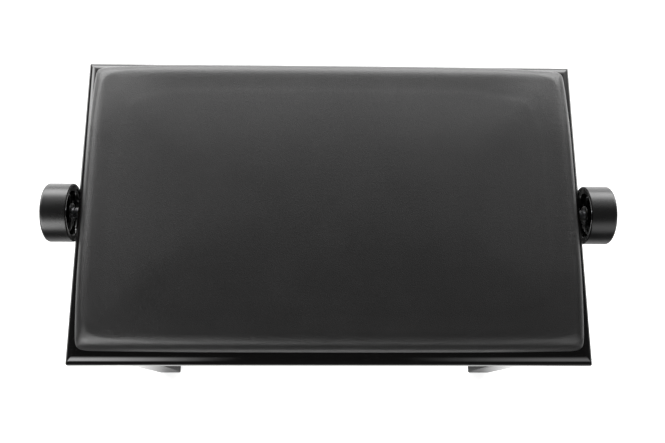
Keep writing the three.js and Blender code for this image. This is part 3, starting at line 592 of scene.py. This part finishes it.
beech = make_raw_wood("raw_beech", (0.50, 0.32, 0.17, 1), (0.40, 0.24, 0.12, 1), (0.22, 0.11, 0.05, 1), 260.0)
plywood = make_raw_wood("raw_plywood", (0.55, 0.40, 0.23, 1), (0.46, 0.31, 0.16, 1), (0.24, 0.13, 0.06, 1),
                        160.0, ply=1.5 * MM)
felt = make_felt()
print(beech.name, plywood.name, felt.name)

# %% [markdown]
# ## Finishes on the CAD nodes
#
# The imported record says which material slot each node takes. One table turns a slot into a finish, so every
# node of the frame gets one, also those that are hidden deep inside the box.

# %% Give each CAD node its finish
FINISH_OF_SLOT = {
    "lacquer": lacquer, "leatherette": leatherette, "plywood": plywood, "beech": beech, "felt": felt,
    "black_steel": powder_coat, "zinc": zinc_plate, "bronze": bronze, "nylon": nylon,
    "knob_plastic": satin_plastic,
}
slot_of_node = {part["node"]: part["material_slot"] for part in frame["record"]["subparts"]}
for name, node in nodes.items():
    node.data.materials.clear()
    node.data.materials.append(FINISH_OF_SLOT[slot_of_node[name]])
print(f"{len(slot_of_node)} nodes dressed from {len(FINISH_OF_SLOT)} slots")

# %% [markdown]
# ## Building meshes ring by ring
#
# A moulded board, a turned knob and a cushion have one thing in common: each is a stack of closed outlines.
# One helper joins such a stack into a closed skin. Others give the outline of a rectangle with round corners,
# whose sides can swell outwards, turn a profile about an axis, and shade the result.

# %% Helpers for meshes
def add_piece(name, mesh, body, slot_name, *replaced):
    piece = put_in_scene(name, mesh)
    if replaced:
        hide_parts(*replaced)
    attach(piece, body)
    return piece


def skin_over(name, rings, *finishes, finish_of_band=None):
    """A closed mesh over rings of equally many points, from the lowest ring to the highest."""
    count = len(rings[0])
    places = [point for ring in rings for point in ring]
    faces = [tuple(reversed(range(count)))]
    bands = [0]
    for level in range(len(rings) - 1):
        for i in range(count):
            j = (i + 1) % count
            a = level * count
            faces.append((a + i, a + j, a + count + j, a + count + i))
            bands.append(level)
    top = (len(rings) - 1) * count
    faces.append(tuple(range(top, top + count)))
    bands.append(len(rings) - 2)
    mesh = bpy.data.meshes.new(name)
    mesh.from_pydata(places, [], faces)
    for finish in finishes:
        mesh.materials.append(finish)
    for face, band in zip(mesh.polygons, bands):
        face.use_smooth = True
        face.material_index = finish_of_band(band) if finish_of_band else 0
    mesh.validate()
    return mesh


def rounded_outline(half_x, half_y, radius, z, swell=0.0, corner_steps=6, side_steps=1):
    ring = []
    for quarter, (sign_x, sign_y) in enumerate(((1, 1), (-1, 1), (-1, -1), (1, -1))):
        for step in range(corner_steps + 1):
            turn = (quarter + step / corner_steps) * math.pi / 2
            ring.append((sign_x * (half_x - radius) + radius * math.cos(turn),
                         sign_y * (half_y - radius) + radius * math.sin(turn), z))
        for step in range(1, side_steps):
            travelled = 1 - 2 * step / side_steps
            out = swell * (1 - travelled ** 4)
            if sign_x == sign_y:
                ring.append((sign_x * travelled * (half_x - radius), sign_y * (half_y + out), z))
            else:
                ring.append((sign_x * (half_x + out), sign_y * travelled * (half_y - radius), z))
    return ring


def turned_rings(profile, axis_z, sign, segments):
    """Rings round the spindle's line: a profile of (radius, place on X), for one side of the bench."""
    turns = [2 * math.pi * i / segments for i in range(segments)]
    return [[(sign * along, -sign * radius * math.sin(turn), axis_z + radius * math.cos(turn))
             for turn in turns] for radius, along in profile]


def shade(mesh, degrees):
    """Smooth shading, with a crease wherever two faces meet at more than the given angle."""
    for face in mesh.polygons:
        face.use_smooth = True
    mesh.set_sharp_from_angle(angle=math.radians(degrees))


print("mesh helpers ready")

# %% [markdown]
# ## The seat board
#
# The board's edge is a quarter-round moulding with mitred corners. The CAD board has it in nine flat steps,
# which is right for weighing and collision, but a mirror finish shows each step. So the board is built again
# with many fine steps, and its lower edge is eased. Two narrow rings beside each flat keep its shading flat.

# %% Seat board with its moulding
MOULDING, MOULDING_STEPS = 14.5 * MM, 32
EASE, EASE_STEPS = 1.2 * MM, 4


def quarter_turn(steps):
    """Angles over a quarter turn, with the given number of steps between them."""
    return [step / steps * math.pi / 2 for step in range(steps + 1)]


def make_board():
    low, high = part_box("seat_board")
    half_x, half_y, thickness, corner = high.x, high.y, high.z - low.z, 1.6 * MM
    levels = [(EASE + 2 * MM, 0.0), (EASE + 0.3 * MM, 0.0)]
    levels += [(EASE * (1 - math.sin(turn)), EASE * (1 - math.cos(turn)))
               for turn in quarter_turn(EASE_STEPS)]
    levels.append((0.0, EASE + 0.2 * MM))
    levels += [(MOULDING * (1 - math.cos(turn)), thickness - MOULDING * (1 - math.sin(turn)))
               for turn in quarter_turn(MOULDING_STEPS)]
    levels += [(MOULDING + 0.4 * MM, thickness), (MOULDING + 4 * MM, thickness)]
    rings = [rounded_outline(half_x - inset, half_y - inset, corner, low.z + rise, corner_steps=4)
             for inset, rise in levels]
    mesh = skin_over("moulded_board", rings, lacquer)
    return add_piece("moulded_board", mesh, "seat", "lacquer", "seat_board")


board = make_board()
print(board.name, len(board.data.polygons), "faces")

# %% [markdown]
# ## The knobs
#
# Each knob is a deep cup with its open side towards the bench: a raised rim, a step, a polished dish with
# rounded corners and a hub round the spindle. It is one turned profile. The rings of the rim and dish take
# the polished finish, and the side and the end take the satin one. The picture shows the knobs a little
# longer than the CAD has them, so each end lies a little further out.

# %% Knobs
# Lengths of turned profiles in this cell are millimetres.
NEAR_AXIS = 0.02
KNOB_RADIUS, KNOB_LENGTH, KNOB_GROWTH, KNOB_SEGMENTS = 33.6, 29.3, 0.4, 96


def arc_points(centre, radius, start, stop, steps):
    """Points on a circle between two angles in degrees."""
    turns = [math.radians(start + (stop - start) * step / steps) for step in range(steps + 1)]
    return [(centre[0] + radius * math.cos(turn), centre[1] + radius * math.sin(turn)) for turn in turns]


def knob_profile(inner):
    """(radius, place along X) from the spindle's hole to the middle of the knob's end. It is drawn in mm."""
    hole, hole_depth, hub, rim_in, rim_out, length = 6.25, 18.2, 11.0, 30.4, KNOB_RADIUS, KNOB_LENGTH
    step_depth, dish_wall, dish_depth, fillet = 1.6, 25.9, 11.0, 4.0
    hub_round, rim_round, end_round, ease = 1.5, 1.0, 3.0, 0.4
    points = [(NEAR_AXIS, hole_depth), (hole, hole_depth), (hole, step_depth + ease)]
    points += [(hole + ease, step_depth), (hub - hub_round, step_depth)]
    points += arc_points((hub - hub_round, step_depth + hub_round), hub_round, -90, 0, 5)[1:]
    points += arc_points((hub + fillet, dish_depth - fillet), fillet, 180, 90, 8)
    points += arc_points((dish_wall - 1.5 - fillet, dish_depth - fillet), fillet, 90, 0, 8)
    points += [(dish_wall - 0.35, step_depth + 0.5), (dish_wall - 0.1, step_depth + 0.12)]
    points += [(dish_wall + 0.25, step_depth), (rim_in - 0.3, step_depth), (rim_in - 0.05, step_depth - 0.1)]
    points += [(rim_in, step_depth - ease), (rim_in, 0.35), (rim_in + 0.1, 0.1), (rim_in + 0.35, 0.0)]
    points += [(rim_out - 1.2, 0.0)]
    points += arc_points((rim_out - rim_round, rim_round), rim_round, -80, 0, 5)
    points += [(rim_out, 1.6), (rim_out, length - 3.5)]
    points += arc_points((rim_out - end_round, length - end_round), end_round, 0, 90, 10)
    points += [(rim_out - 3.6, length), (NEAR_AXIS, length)]
    return [(radius * MM, inner + (along - KNOB_GROWTH) * MM) for radius, along in points]


def make_knob(side, sign):
    low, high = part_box(f"knob_{side}")
    inner = low.x if sign > 0 else -high.x
    axis_z = (low.z + high.z) / 2
    profile = knob_profile(inner)
    dish_end = next(i for i, (radius, _) in enumerate(profile) if radius > (KNOB_RADIUS - 0.1) * MM)
    rings = turned_rings(profile, axis_z, sign, KNOB_SEGMENTS)
    mesh = skin_over(f"turned_knob_{side}", rings, satin_plastic, polished_plastic,
                     finish_of_band=lambda band: 1 if band < dish_end else 0)
    shade(mesh, 40)
    return add_piece(f"turned_knob_{side}", mesh, "spindle", "knob_plastic", f"knob_{side}")


knobs = [make_knob("left", -1), make_knob("right", 1)]
print([knob.name for knob in knobs])

# %% [markdown]
# ## The cushion
#
# The seat is foam on a plywood panel, with the cover pulled down over it and stapled below. Foam under a
# tight cover is crowned on top, rolls over its edges, and swells a little between its corners. A stack of
# outlines gives that form slightly too small. A short cloth simulation with air pressure then fills it, so
# the skin is in tension everywhere as the real cover is, with its underside held. The real cover is pulled
# tight and shows no folds, so the moves are averaged over a few centimetres first. Air alone would blow the
# cover up like a balloon. Foam doesn't, so all moves are then scaled down until the largest is 3 mm.

# %% Cushion before filling
PANEL_ROOM, ROOM_CORNER, ROOM_BELOW = 0.5 * MM, 4.2 * MM, 12 * MM
CORNER_REACH = 85 * MM
CORNER_FALL = 0.24


def cushion_rings(margin, side_height, crown, swell):
    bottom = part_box("cushion")[0].z
    board_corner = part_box("seat_board")[1]
    hem_x, hem_y = board_corner.x - margin, board_corner.y - margin
    roll_width, roll_height, hem = 15 * MM, 23 * MM, 1.6 * MM
    shoulder = side_height - roll_height
    corner_low, corner_high, corner_growth, roll_steps = 5 * MM, 13 * MM, 1 * MM, 12

    def outline(inset, rise, out, radius):
        return rounded_outline(hem_x - inset, hem_y - inset, radius, bottom + rise, out, 8, 24)

    rings = [outline(hem, 0, 0, corner_low), outline(0.3 * hem, 0.3 * hem, 0, corner_low)]
    for share in (0.15, 0.4, 0.7, 1.0):
        out = swell * math.sin(share * math.pi / 2)
        rings.append(outline(0, hem + share * (shoulder - hem), out, corner_low + share * corner_growth))
    for step in range(1, roll_steps + 1):
        turn = step / roll_steps * math.pi / 2
        radius = corner_low + corner_growth + (corner_high - corner_low - corner_growth) * step / roll_steps
        rings.append(outline(roll_width * (1 - math.cos(turn)), shoulder + roll_height * math.sin(turn),
                             swell * math.cos(turn / 2), radius))
    reach = hem_y - roll_width - corner_high
    for share in (0.12, 0.25, 0.4, 0.55, 0.7, 0.85, 0.96):
        rings.append(outline(roll_width + share * reach, side_height + crown * math.sin(share * math.pi / 2),
                             swell / 2 * (1 - share), corner_high))
    return [[lowered_corner(point, bottom, hem_x, hem_y) for point in ring] for ring in rings]


def lowered_corner(point, bottom, hem_x, hem_y):
    """A cover sewn square pulls its corners down, so heights shrink towards each corner."""
    x, y, z = point
    near_x = min(1.0, max(0.0, 1 - (hem_x - abs(x)) / CORNER_REACH))
    near_y = min(1.0, max(0.0, 1 - (hem_y - abs(y)) / CORNER_REACH))
    return x, y, bottom + (z - bottom) * (1 - CORNER_FALL * (near_x * near_y) ** 1.5)


def worked_out(holder):
    """The mesh of a piece with its modifiers worked out. The piece itself is removed."""
    graph = bpy.context.evaluated_depsgraph_get()
    made = bpy.data.meshes.new_from_object(holder.evaluated_get(graph))
    bpy.data.objects.remove(holder)
    return made


def with_modifier(mesh, kind, **fields):
    """The mesh after one modifier, as a new mesh."""
    holder = put_in_scene("bench_work", mesh)
    set_fields(holder.modifiers.new(kind.lower(), kind), fields)
    return worked_out(holder)


slack_rings = cushion_rings(margin=14.2 * MM, side_height=30.5 * MM, crown=5.0 * MM, swell=2.6 * MM)
slack = skin_over("slack_cushion", slack_rings, leatherette)
even = with_modifier(slack, "REMESH", mode="VOXEL", voxel_size=5 * MM, use_smooth_shade=True)
print(len(even.vertices), "points after the remesh")

# %% Fill the cushion
MOST_MOVE = 3.0 * MM
SMOOTHING_ROUNDS = 60
CLOTH_FRAMES = 20
HELD_HEIGHT = 1.5 * MM
CLOTH_SETTINGS = {
    "quality": 6, "mass": 0.35, "tension_stiffness": 15, "compression_stiffness": 15, "shear_stiffness": 5,
    "bending_stiffness": 6, "use_pressure": True, "uniform_pressure_force": 4, "vertex_group_mass": "held",
}


def smoothed(mesh, moves, rounds):
    """Each move averaged with its neighbours' many times: the broad swell stays and small buckles go."""
    neighbours = [[] for _ in moves]
    for edge in mesh.edges:
        a, b = edge.vertices
        neighbours[a].append(b)
        neighbours[b].append(a)
    for _ in range(rounds):
        moves = [(own + sum((moves[n] for n in near), Vector()) / len(near)) / 2
                 for own, near in zip(moves, neighbours)]
    return moves


def fill(mesh):
    """The mesh after some frames of cloth under pressure, its underside held and its moves small and even."""
    holder = put_in_scene("bench_work", mesh)
    bottom = min(vertex.co.z for vertex in mesh.vertices)
    held = holder.vertex_groups.new(name="held")
    held.add([v.index for v in mesh.vertices if v.co.z < bottom + HELD_HEIGHT], 1.0, "REPLACE")
    cloth = holder.modifiers.new("cloth", "CLOTH")
    set_fields(cloth.settings, CLOTH_SETTINGS)
    cloth.settings.effector_weights.gravity = 0
    cloth.collision_settings.use_collision = False
    cloth.point_cache.frame_start, cloth.point_cache.frame_end = 1, CLOTH_FRAMES
    start = [vertex.co.copy() for vertex in mesh.vertices]
    for moment in range(1, CLOTH_FRAMES + 1):
        bpy.context.scene.frame_set(moment)
    filled = worked_out(holder)
    moves = [vertex.co - before for vertex, before in zip(filled.vertices, start)]
    moves = smoothed(filled, moves, SMOOTHING_ROUNDS)
    share = min(1.0, MOST_MOVE / max(move.length for move in moves))
    for vertex, before, move in zip(filled.vertices, start, moves):
        vertex.co = before + move * share
    print(f"{share:.3f} of each move is kept")
    bpy.context.scene.frame_set(1)
    return filled


full = fill(even)
smooth_form = with_modifier(full, "SUBSURF", levels=1, render_levels=1)
print(len(smooth_form.polygons), "faces after the subdivision")

# %% [markdown]
# ## The room for the panel
#
# The plywood panel sits up inside the cushion. A Boolean cuts that room from the filled form, a little larger
# than the panel, so the two never touch. It comes last, because a subdivision would round its corners.

# %% Cut the panel's room and finish the cushion
def make_cushion():
    low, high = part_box("cushion_panel")
    rings = [rounded_outline(high.x + PANEL_ROOM, high.y + PANEL_ROOM, ROOM_CORNER, z)
             for z in (low.z - ROOM_BELOW, high.z + PANEL_ROOM)]
    room = put_in_scene("bench_room", skin_over("bench_room", rings))
    mesh = with_modifier(smooth_form, "BOOLEAN", operation="DIFFERENCE", solver="EXACT", object=room)
    bpy.data.objects.remove(room)
    mesh.name = "seat_cushion"
    mesh.materials.clear()
    mesh.materials.append(leatherette)
    shade(mesh, 50)
    piece = add_piece("seat_cushion", mesh, "seat", "leatherette", "cushion")
    return piece


cushion = make_cushion()
print(cushion.name, len(cushion.data.polygons), "faces")

# %% [markdown]
# ## The spindle's thread
#
# A right-handed trapezoid thread of 3 mm pitch runs over the part of the spindle that the nut travels. It
# could be a profile swept along a helix, but such a sweep only pokes into the bar. Geometry Nodes do it
# better by a rule: a turned bar gets dense rings where the thread is, and each point moves inwards by a depth
# that depends on its place along the bar less its angle round it. The result stays one closed skin.

# %% A tree that cuts a thread
THREAD_PITCH, THREAD_DEPTH = 3.0 * MM, 1.2 * MM
THREAD_FROM, THREAD_TO = 104 * MM, 216 * MM
THREAD_FLANK = (0.37, 0.63)
GEOMETRY, MATERIAL, INTEGER = "NodeSocketGeometry", "NodeSocketMaterial", "NodeSocketInt"


def close_tree(tree, given, result, geometry):
    """Every tree ends the same way: real geometry, then its finish."""
    real = add_node(tree, "GeometryNodeRealizeInstances", {0: geometry})
    feeds = {"Geometry": real.outputs[0], "Material": given["Finish"]}
    dressed = add_node(tree, "GeometryNodeSetMaterial", feeds)
    feed(tree, result["Geometry"], dressed.outputs[0])


def build_thread_tree():
    tree, given, result = open_group(
        "thread",
        [("Geometry", GEOMETRY), ("Pitch", VALUE, 0.003), ("Depth", VALUE, 0.001), ("From", VALUE, 0.0),
         ("To", VALUE, 0.1), ("Axis height", VALUE, 0.0), ("Finish", MATERIAL)],
        [("Geometry", GEOMETRY)], "GeometryNodeTree",
    )
    pitch, first, last = given["Pitch"], given["From"], given["To"]
    along, across, height = split(tree, add_node(tree, "GeometryNodeInputPosition").outputs[0])
    upward = math_node(tree, "SUBTRACT", height, given["Axis height"])
    turn = math_node(tree, "DIVIDE", math_node(tree, "ARCTAN2", upward, across), 2 * math.pi)
    travelled = math_node(tree, "DIVIDE", along, pitch)
    phase = math_node(tree, "FRACT", math_node(tree, "SUBTRACT", travelled, turn))
    from_groove = product(tree, math_node(tree, "ABSOLUTE", math_node(tree, "SUBTRACT", phase, 0.5)), 2.0)
    groove = map_range(tree, from_groove, *THREAD_FLANK, 1.0, 0.0)
    begins = map_range(tree, along, first, math_node(tree, "ADD", first, pitch), 0.0, 1.0)
    ends = map_range(tree, along, math_node(tree, "SUBTRACT", last, pitch), last, 1.0, 0.0)
    share = product(tree, begins, ends, groove)
    unit = vector_math(tree, "NORMALIZE", {0: vector_of(tree, 0.0, across, upward)})
    move = vector_math(tree, "SCALE", {0: unit, "Scale": product(tree, share, given["Depth"], -1.0)})
    moved = add_node(tree, "GeometryNodeSetPosition", {"Geometry": given["Geometry"], "Offset": move})
    close_tree(tree, given, result, moved.outputs[0])
    return tree


def run_tree(tree, mesh, **values):
    """The plain mesh that a tree makes of a mesh. Inputs are found by name and set by identifier."""
    holder = put_in_scene("bench_work", mesh)
    modifier = holder.modifiers.new(tree.name, "NODES")
    modifier.node_group = tree
    for item in tree.interface.items_tree:
        label = item.name.replace(" ", "_").lower()
        if item.in_out == "INPUT" and label in values:
            modifier[item.identifier] = values[label]
    made = worked_out(holder)
    shade(made, 35)
    return made


thread_tree = build_thread_tree()
print(thread_tree.name, len(thread_tree.nodes), "nodes")

# %% The spindle
SPINDLE_SEGMENTS, ROWS_PER_PITCH = 28, 12


def make_spindle():
    low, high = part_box("spindle")
    axis_z = (low.z + high.z) / 2
    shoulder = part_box("thrust_collar_right")[0].x - 0.05 * MM
    journal, bar, end = 6.0 * MM, 7.0 * MM, high.x
    end_ease, shoulder_ease = 0.6 * MM, 0.5 * MM
    profile = [(NEAR_AXIS * MM, -end), (journal - end_ease, -end), (journal, -end + end_ease),
               (journal, -shoulder), (bar - shoulder_ease, -shoulder), (bar, -shoulder + shoulder_ease)]
    rows = round((THREAD_TO - THREAD_FROM) / (THREAD_PITCH / ROWS_PER_PITCH))
    profile += [(bar, THREAD_FROM + (THREAD_TO - THREAD_FROM) * row / rows) for row in range(rows + 1)]
    profile += [(radius, -along) for radius, along in reversed(profile[:6])]
    mesh = skin_over("turned_bar", turned_rings(profile, axis_z, 1, SPINDLE_SEGMENTS), zinc_plate)
    mesh = run_tree(thread_tree, mesh, pitch=THREAD_PITCH, depth=THREAD_DEPTH, axis_height=axis_z,
                    finish=zinc_plate, **{"from": THREAD_FROM, "to": THREAD_TO})
    mesh.name = "threaded_spindle"
    return add_piece("threaded_spindle", mesh, "spindle", "zinc", "spindle")


spindle = make_spindle()
print(spindle.name, len(spindle.data.polygons), "faces")

# %% [markdown]
# ## Small screws
#
# Forty-four screws hold the rails, corner brackets, bushes, nut and collars. They differ only in size and in
# the way they face, so one tree makes them all: it builds a pan head with a cross recess, sets one on each
# point it is given, faces them one way and turns each about itself by chance, since a real screw stops where
# it is tight.

# %% A tree that sets screws on points
HEAD_SIDES = 20
SIDE_SHARE_OF_HEAD, DOME_SHARE, DOME_NARROWING = 0.6, 0.4, 0.66
CROSS_LENGTH, CROSS_WIDTH = 1.0, 0.24


def build_screw_tree():
    tree, given, result = open_group(
        "screws",
        [("Geometry", GEOMETRY), ("Head radius", VALUE, 0.004), ("Head height", VALUE, 0.002),
         ("Facing", VECTOR), ("Seed", INTEGER, 1), ("Finish", MATERIAL)],
        [("Geometry", GEOMETRY)], "GeometryNodeTree",
    )
    radius, height = given["Head radius"], given["Head height"]
    disc = add_node(tree, "GeometryNodeMeshCylinder", {
        "Vertices": HEAD_SIDES, "Radius": radius, "Depth": product(tree, height, SIDE_SHARE_OF_HEAD)},
        fill_type="NGON")
    raised = moved_up(tree, disc.outputs["Mesh"], product(tree, height, SIDE_SHARE_OF_HEAD / 2))
    facing_up = split(tree, add_node(tree, "GeometryNodeInputNormal").outputs[0])["Z"]
    dome = add_node(tree, "GeometryNodeExtrudeMesh", {
        "Mesh": raised, "Selection": math_node(tree, "GREATER_THAN", facing_up, 0.9),
        "Offset Scale": product(tree, height, DOME_SHARE)}, mode="FACES")
    drawn_in = add_node(tree, "GeometryNodeScaleElements", {
        "Geometry": dome.outputs["Mesh"], "Selection": dome.outputs["Top"], "Scale": DOME_NARROWING},
        domain="FACE")
    head = add_node(tree, "GeometryNodeMeshBoolean", {"Mesh 1": drawn_in.outputs[0]},
                    operation="DIFFERENCE", solver="EXACT")
    for across, along in ((CROSS_LENGTH, CROSS_WIDTH), (CROSS_WIDTH, CROSS_LENGTH)):
        size = vector_of(tree, product(tree, radius, across), product(tree, radius, along), height)
        bar = add_node(tree, "GeometryNodeMeshCube", {"Size": size})
        tree.links.new(moved_up(tree, bar.outputs["Mesh"], height), head.inputs["Mesh 2"])
    faced = add_node(tree, "FunctionNodeAlignRotationToVector", {"Vector": given["Facing"]}, axis="Z")
    chance = add_node(tree, "FunctionNodeRandomValue", {"Max": 2 * math.pi, "Seed": given["Seed"]})
    angle = next(socket for socket in chance.outputs if socket.enabled)
    spin = add_node(tree, "FunctionNodeAxisAngleToRotation", {"Angle": angle})
    spun = add_node(tree, "FunctionNodeRotateRotation", {0: faced.outputs[0], 1: spin.outputs[0]},
                    rotation_space="LOCAL")
    placed = add_node(tree, "GeometryNodeInstanceOnPoints", {
        "Points": given["Geometry"], "Instance": head.outputs[0], "Rotation": spun.outputs[0]})
    close_tree(tree, given, result, placed.outputs[0])
    return tree


def moved_up(tree, geometry, height):
    feeds = {"Geometry": geometry, "Translation": vector_of(tree, 0.0, 0.0, height)}
    return add_node(tree, "GeometryNodeTransform", feeds).outputs[0]


screw_tree = build_screw_tree()
print(screw_tree.name, len(screw_tree.nodes), "nodes")

# %% Set the screws
RAIL_SCREW_INSET, RAIL_SCREW_PLACES = 6 * MM, (-0.92, -0.34, 0.34, 0.92)
RAIL_SHEET, BRACKET_SHEET = 3 * MM, 2.5 * MM
BRACKET_SCREW_INSET, BRACKET_SCREW_RISE = 7 * MM, 13 * MM
BUSH_SCREW_RADIUS, NUT_SCREW_RADIUS = 11.4 * MM, 11.6 * MM


def set_screws(name, body, head_radius, head_height, sets):
    """One piece of screws on one body. Each set is a direction and the points whose screws face that way."""
    joined = bmesh.new()
    for seed, (facing, points) in enumerate(sets):
        at = bpy.data.meshes.new("screw_points")
        at.from_pydata(points, [], [])
        made = run_tree(screw_tree, at, head_radius=head_radius, head_height=head_height, facing=facing,
                        seed=seed + len(name), finish=zinc_plate)
        joined.from_mesh(made)
        bpy.data.meshes.remove(made)
    mesh = bpy.data.meshes.new(name)
    joined.to_mesh(mesh)
    joined.free()
    mesh.materials.append(zinc_plate)
    shade(mesh, 35)
    return add_piece(name, mesh, body, "zinc")


def rail_points(rail, z):
    """The four screw holes of a rail, in the middle of its flange's flat part."""
    low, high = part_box(rail)
    outer = low.y if abs(low.y) > abs(high.y) else high.y
    y = outer - math.copysign(RAIL_SCREW_INSET, outer)
    return [(share * high.x, y, z) for share in RAIL_SCREW_PLACES]


def bracket_sets():
    low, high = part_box("corner_bracket_back_right")
    middle_z, sets = (low.z + high.z) / 2, []
    heights = (middle_z - BRACKET_SCREW_RISE, middle_z + BRACKET_SCREW_RISE)
    for side in (-1, 1):
        on_long = [(turn_x * (low.x + BRACKET_SCREW_INSET), side * (high.y - BRACKET_SHEET), z)
                   for turn_x in (-1, 1) for z in heights]
        on_short = [(side * (high.x - BRACKET_SHEET), turn_y * (low.y + BRACKET_SCREW_INSET), z)
                    for turn_y in (-1, 1) for z in heights]
        sets += [((0, -side, 0), on_long), ((-side, 0, 0), on_short)]
    return sets


def ring_of_points(x, radius, count, first_angle):
    axis_z = sum(corner.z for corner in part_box("spindle")) / 2
    turns = [math.radians(first_angle + 360 * i / count) for i in range(count)]
    return [(x, radius * math.cos(turn), axis_z + radius * math.sin(turn)) for turn in turns]


flange_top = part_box("lower_rail_front")[0].z + RAIL_SHEET
flange_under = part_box("upper_rail_front")[1].z - RAIL_SHEET
bush_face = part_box("spindle_bush_right")[1].x
nut_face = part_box("spindle_nut")[0].x
collar_low, collar_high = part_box("thrust_collar_right")
collar_x, collar_top = (collar_low.x + collar_high.x) / 2, collar_high.z - 0.1 * MM
screws = [
    set_screws("lower_rail_screws", "base", 4.0 * MM, 1.8 * MM, [
        ((0, 0, 1), rail_points("lower_rail_front", flange_top)
         + rail_points("lower_rail_back", flange_top))]),
    set_screws("upper_rail_screws", "seat", 4.0 * MM, 1.8 * MM, [
        ((0, 0, -1), rail_points("upper_rail_front", flange_under)
         + rail_points("upper_rail_back", flange_under))]),
    set_screws("bracket_screws", "base", 3.6 * MM, 2.0 * MM, bracket_sets()),
    set_screws("bush_screws", "base", 2.1 * MM, 1.2 * MM, [
        ((side, 0, 0), ring_of_points(side * bush_face, BUSH_SCREW_RADIUS, 3, 90)) for side in (-1, 1)]),
    set_screws("nut_screws", "nut_carriage", 2.2 * MM, 1.4 * MM, [
        ((-1, 0, 0), ring_of_points(nut_face, NUT_SCREW_RADIUS, 4, 45))]),
    set_screws("collar_screws", "spindle", 2.4 * MM, 0.7 * MM, [
        ((0, 0, 1), [(-collar_x, 0, collar_top), (collar_x, 0, collar_top)])]),
]
print({piece.name: len(piece.data.polygons) for piece in screws})

# %% Update the scene
bpy.context.view_layer.update()
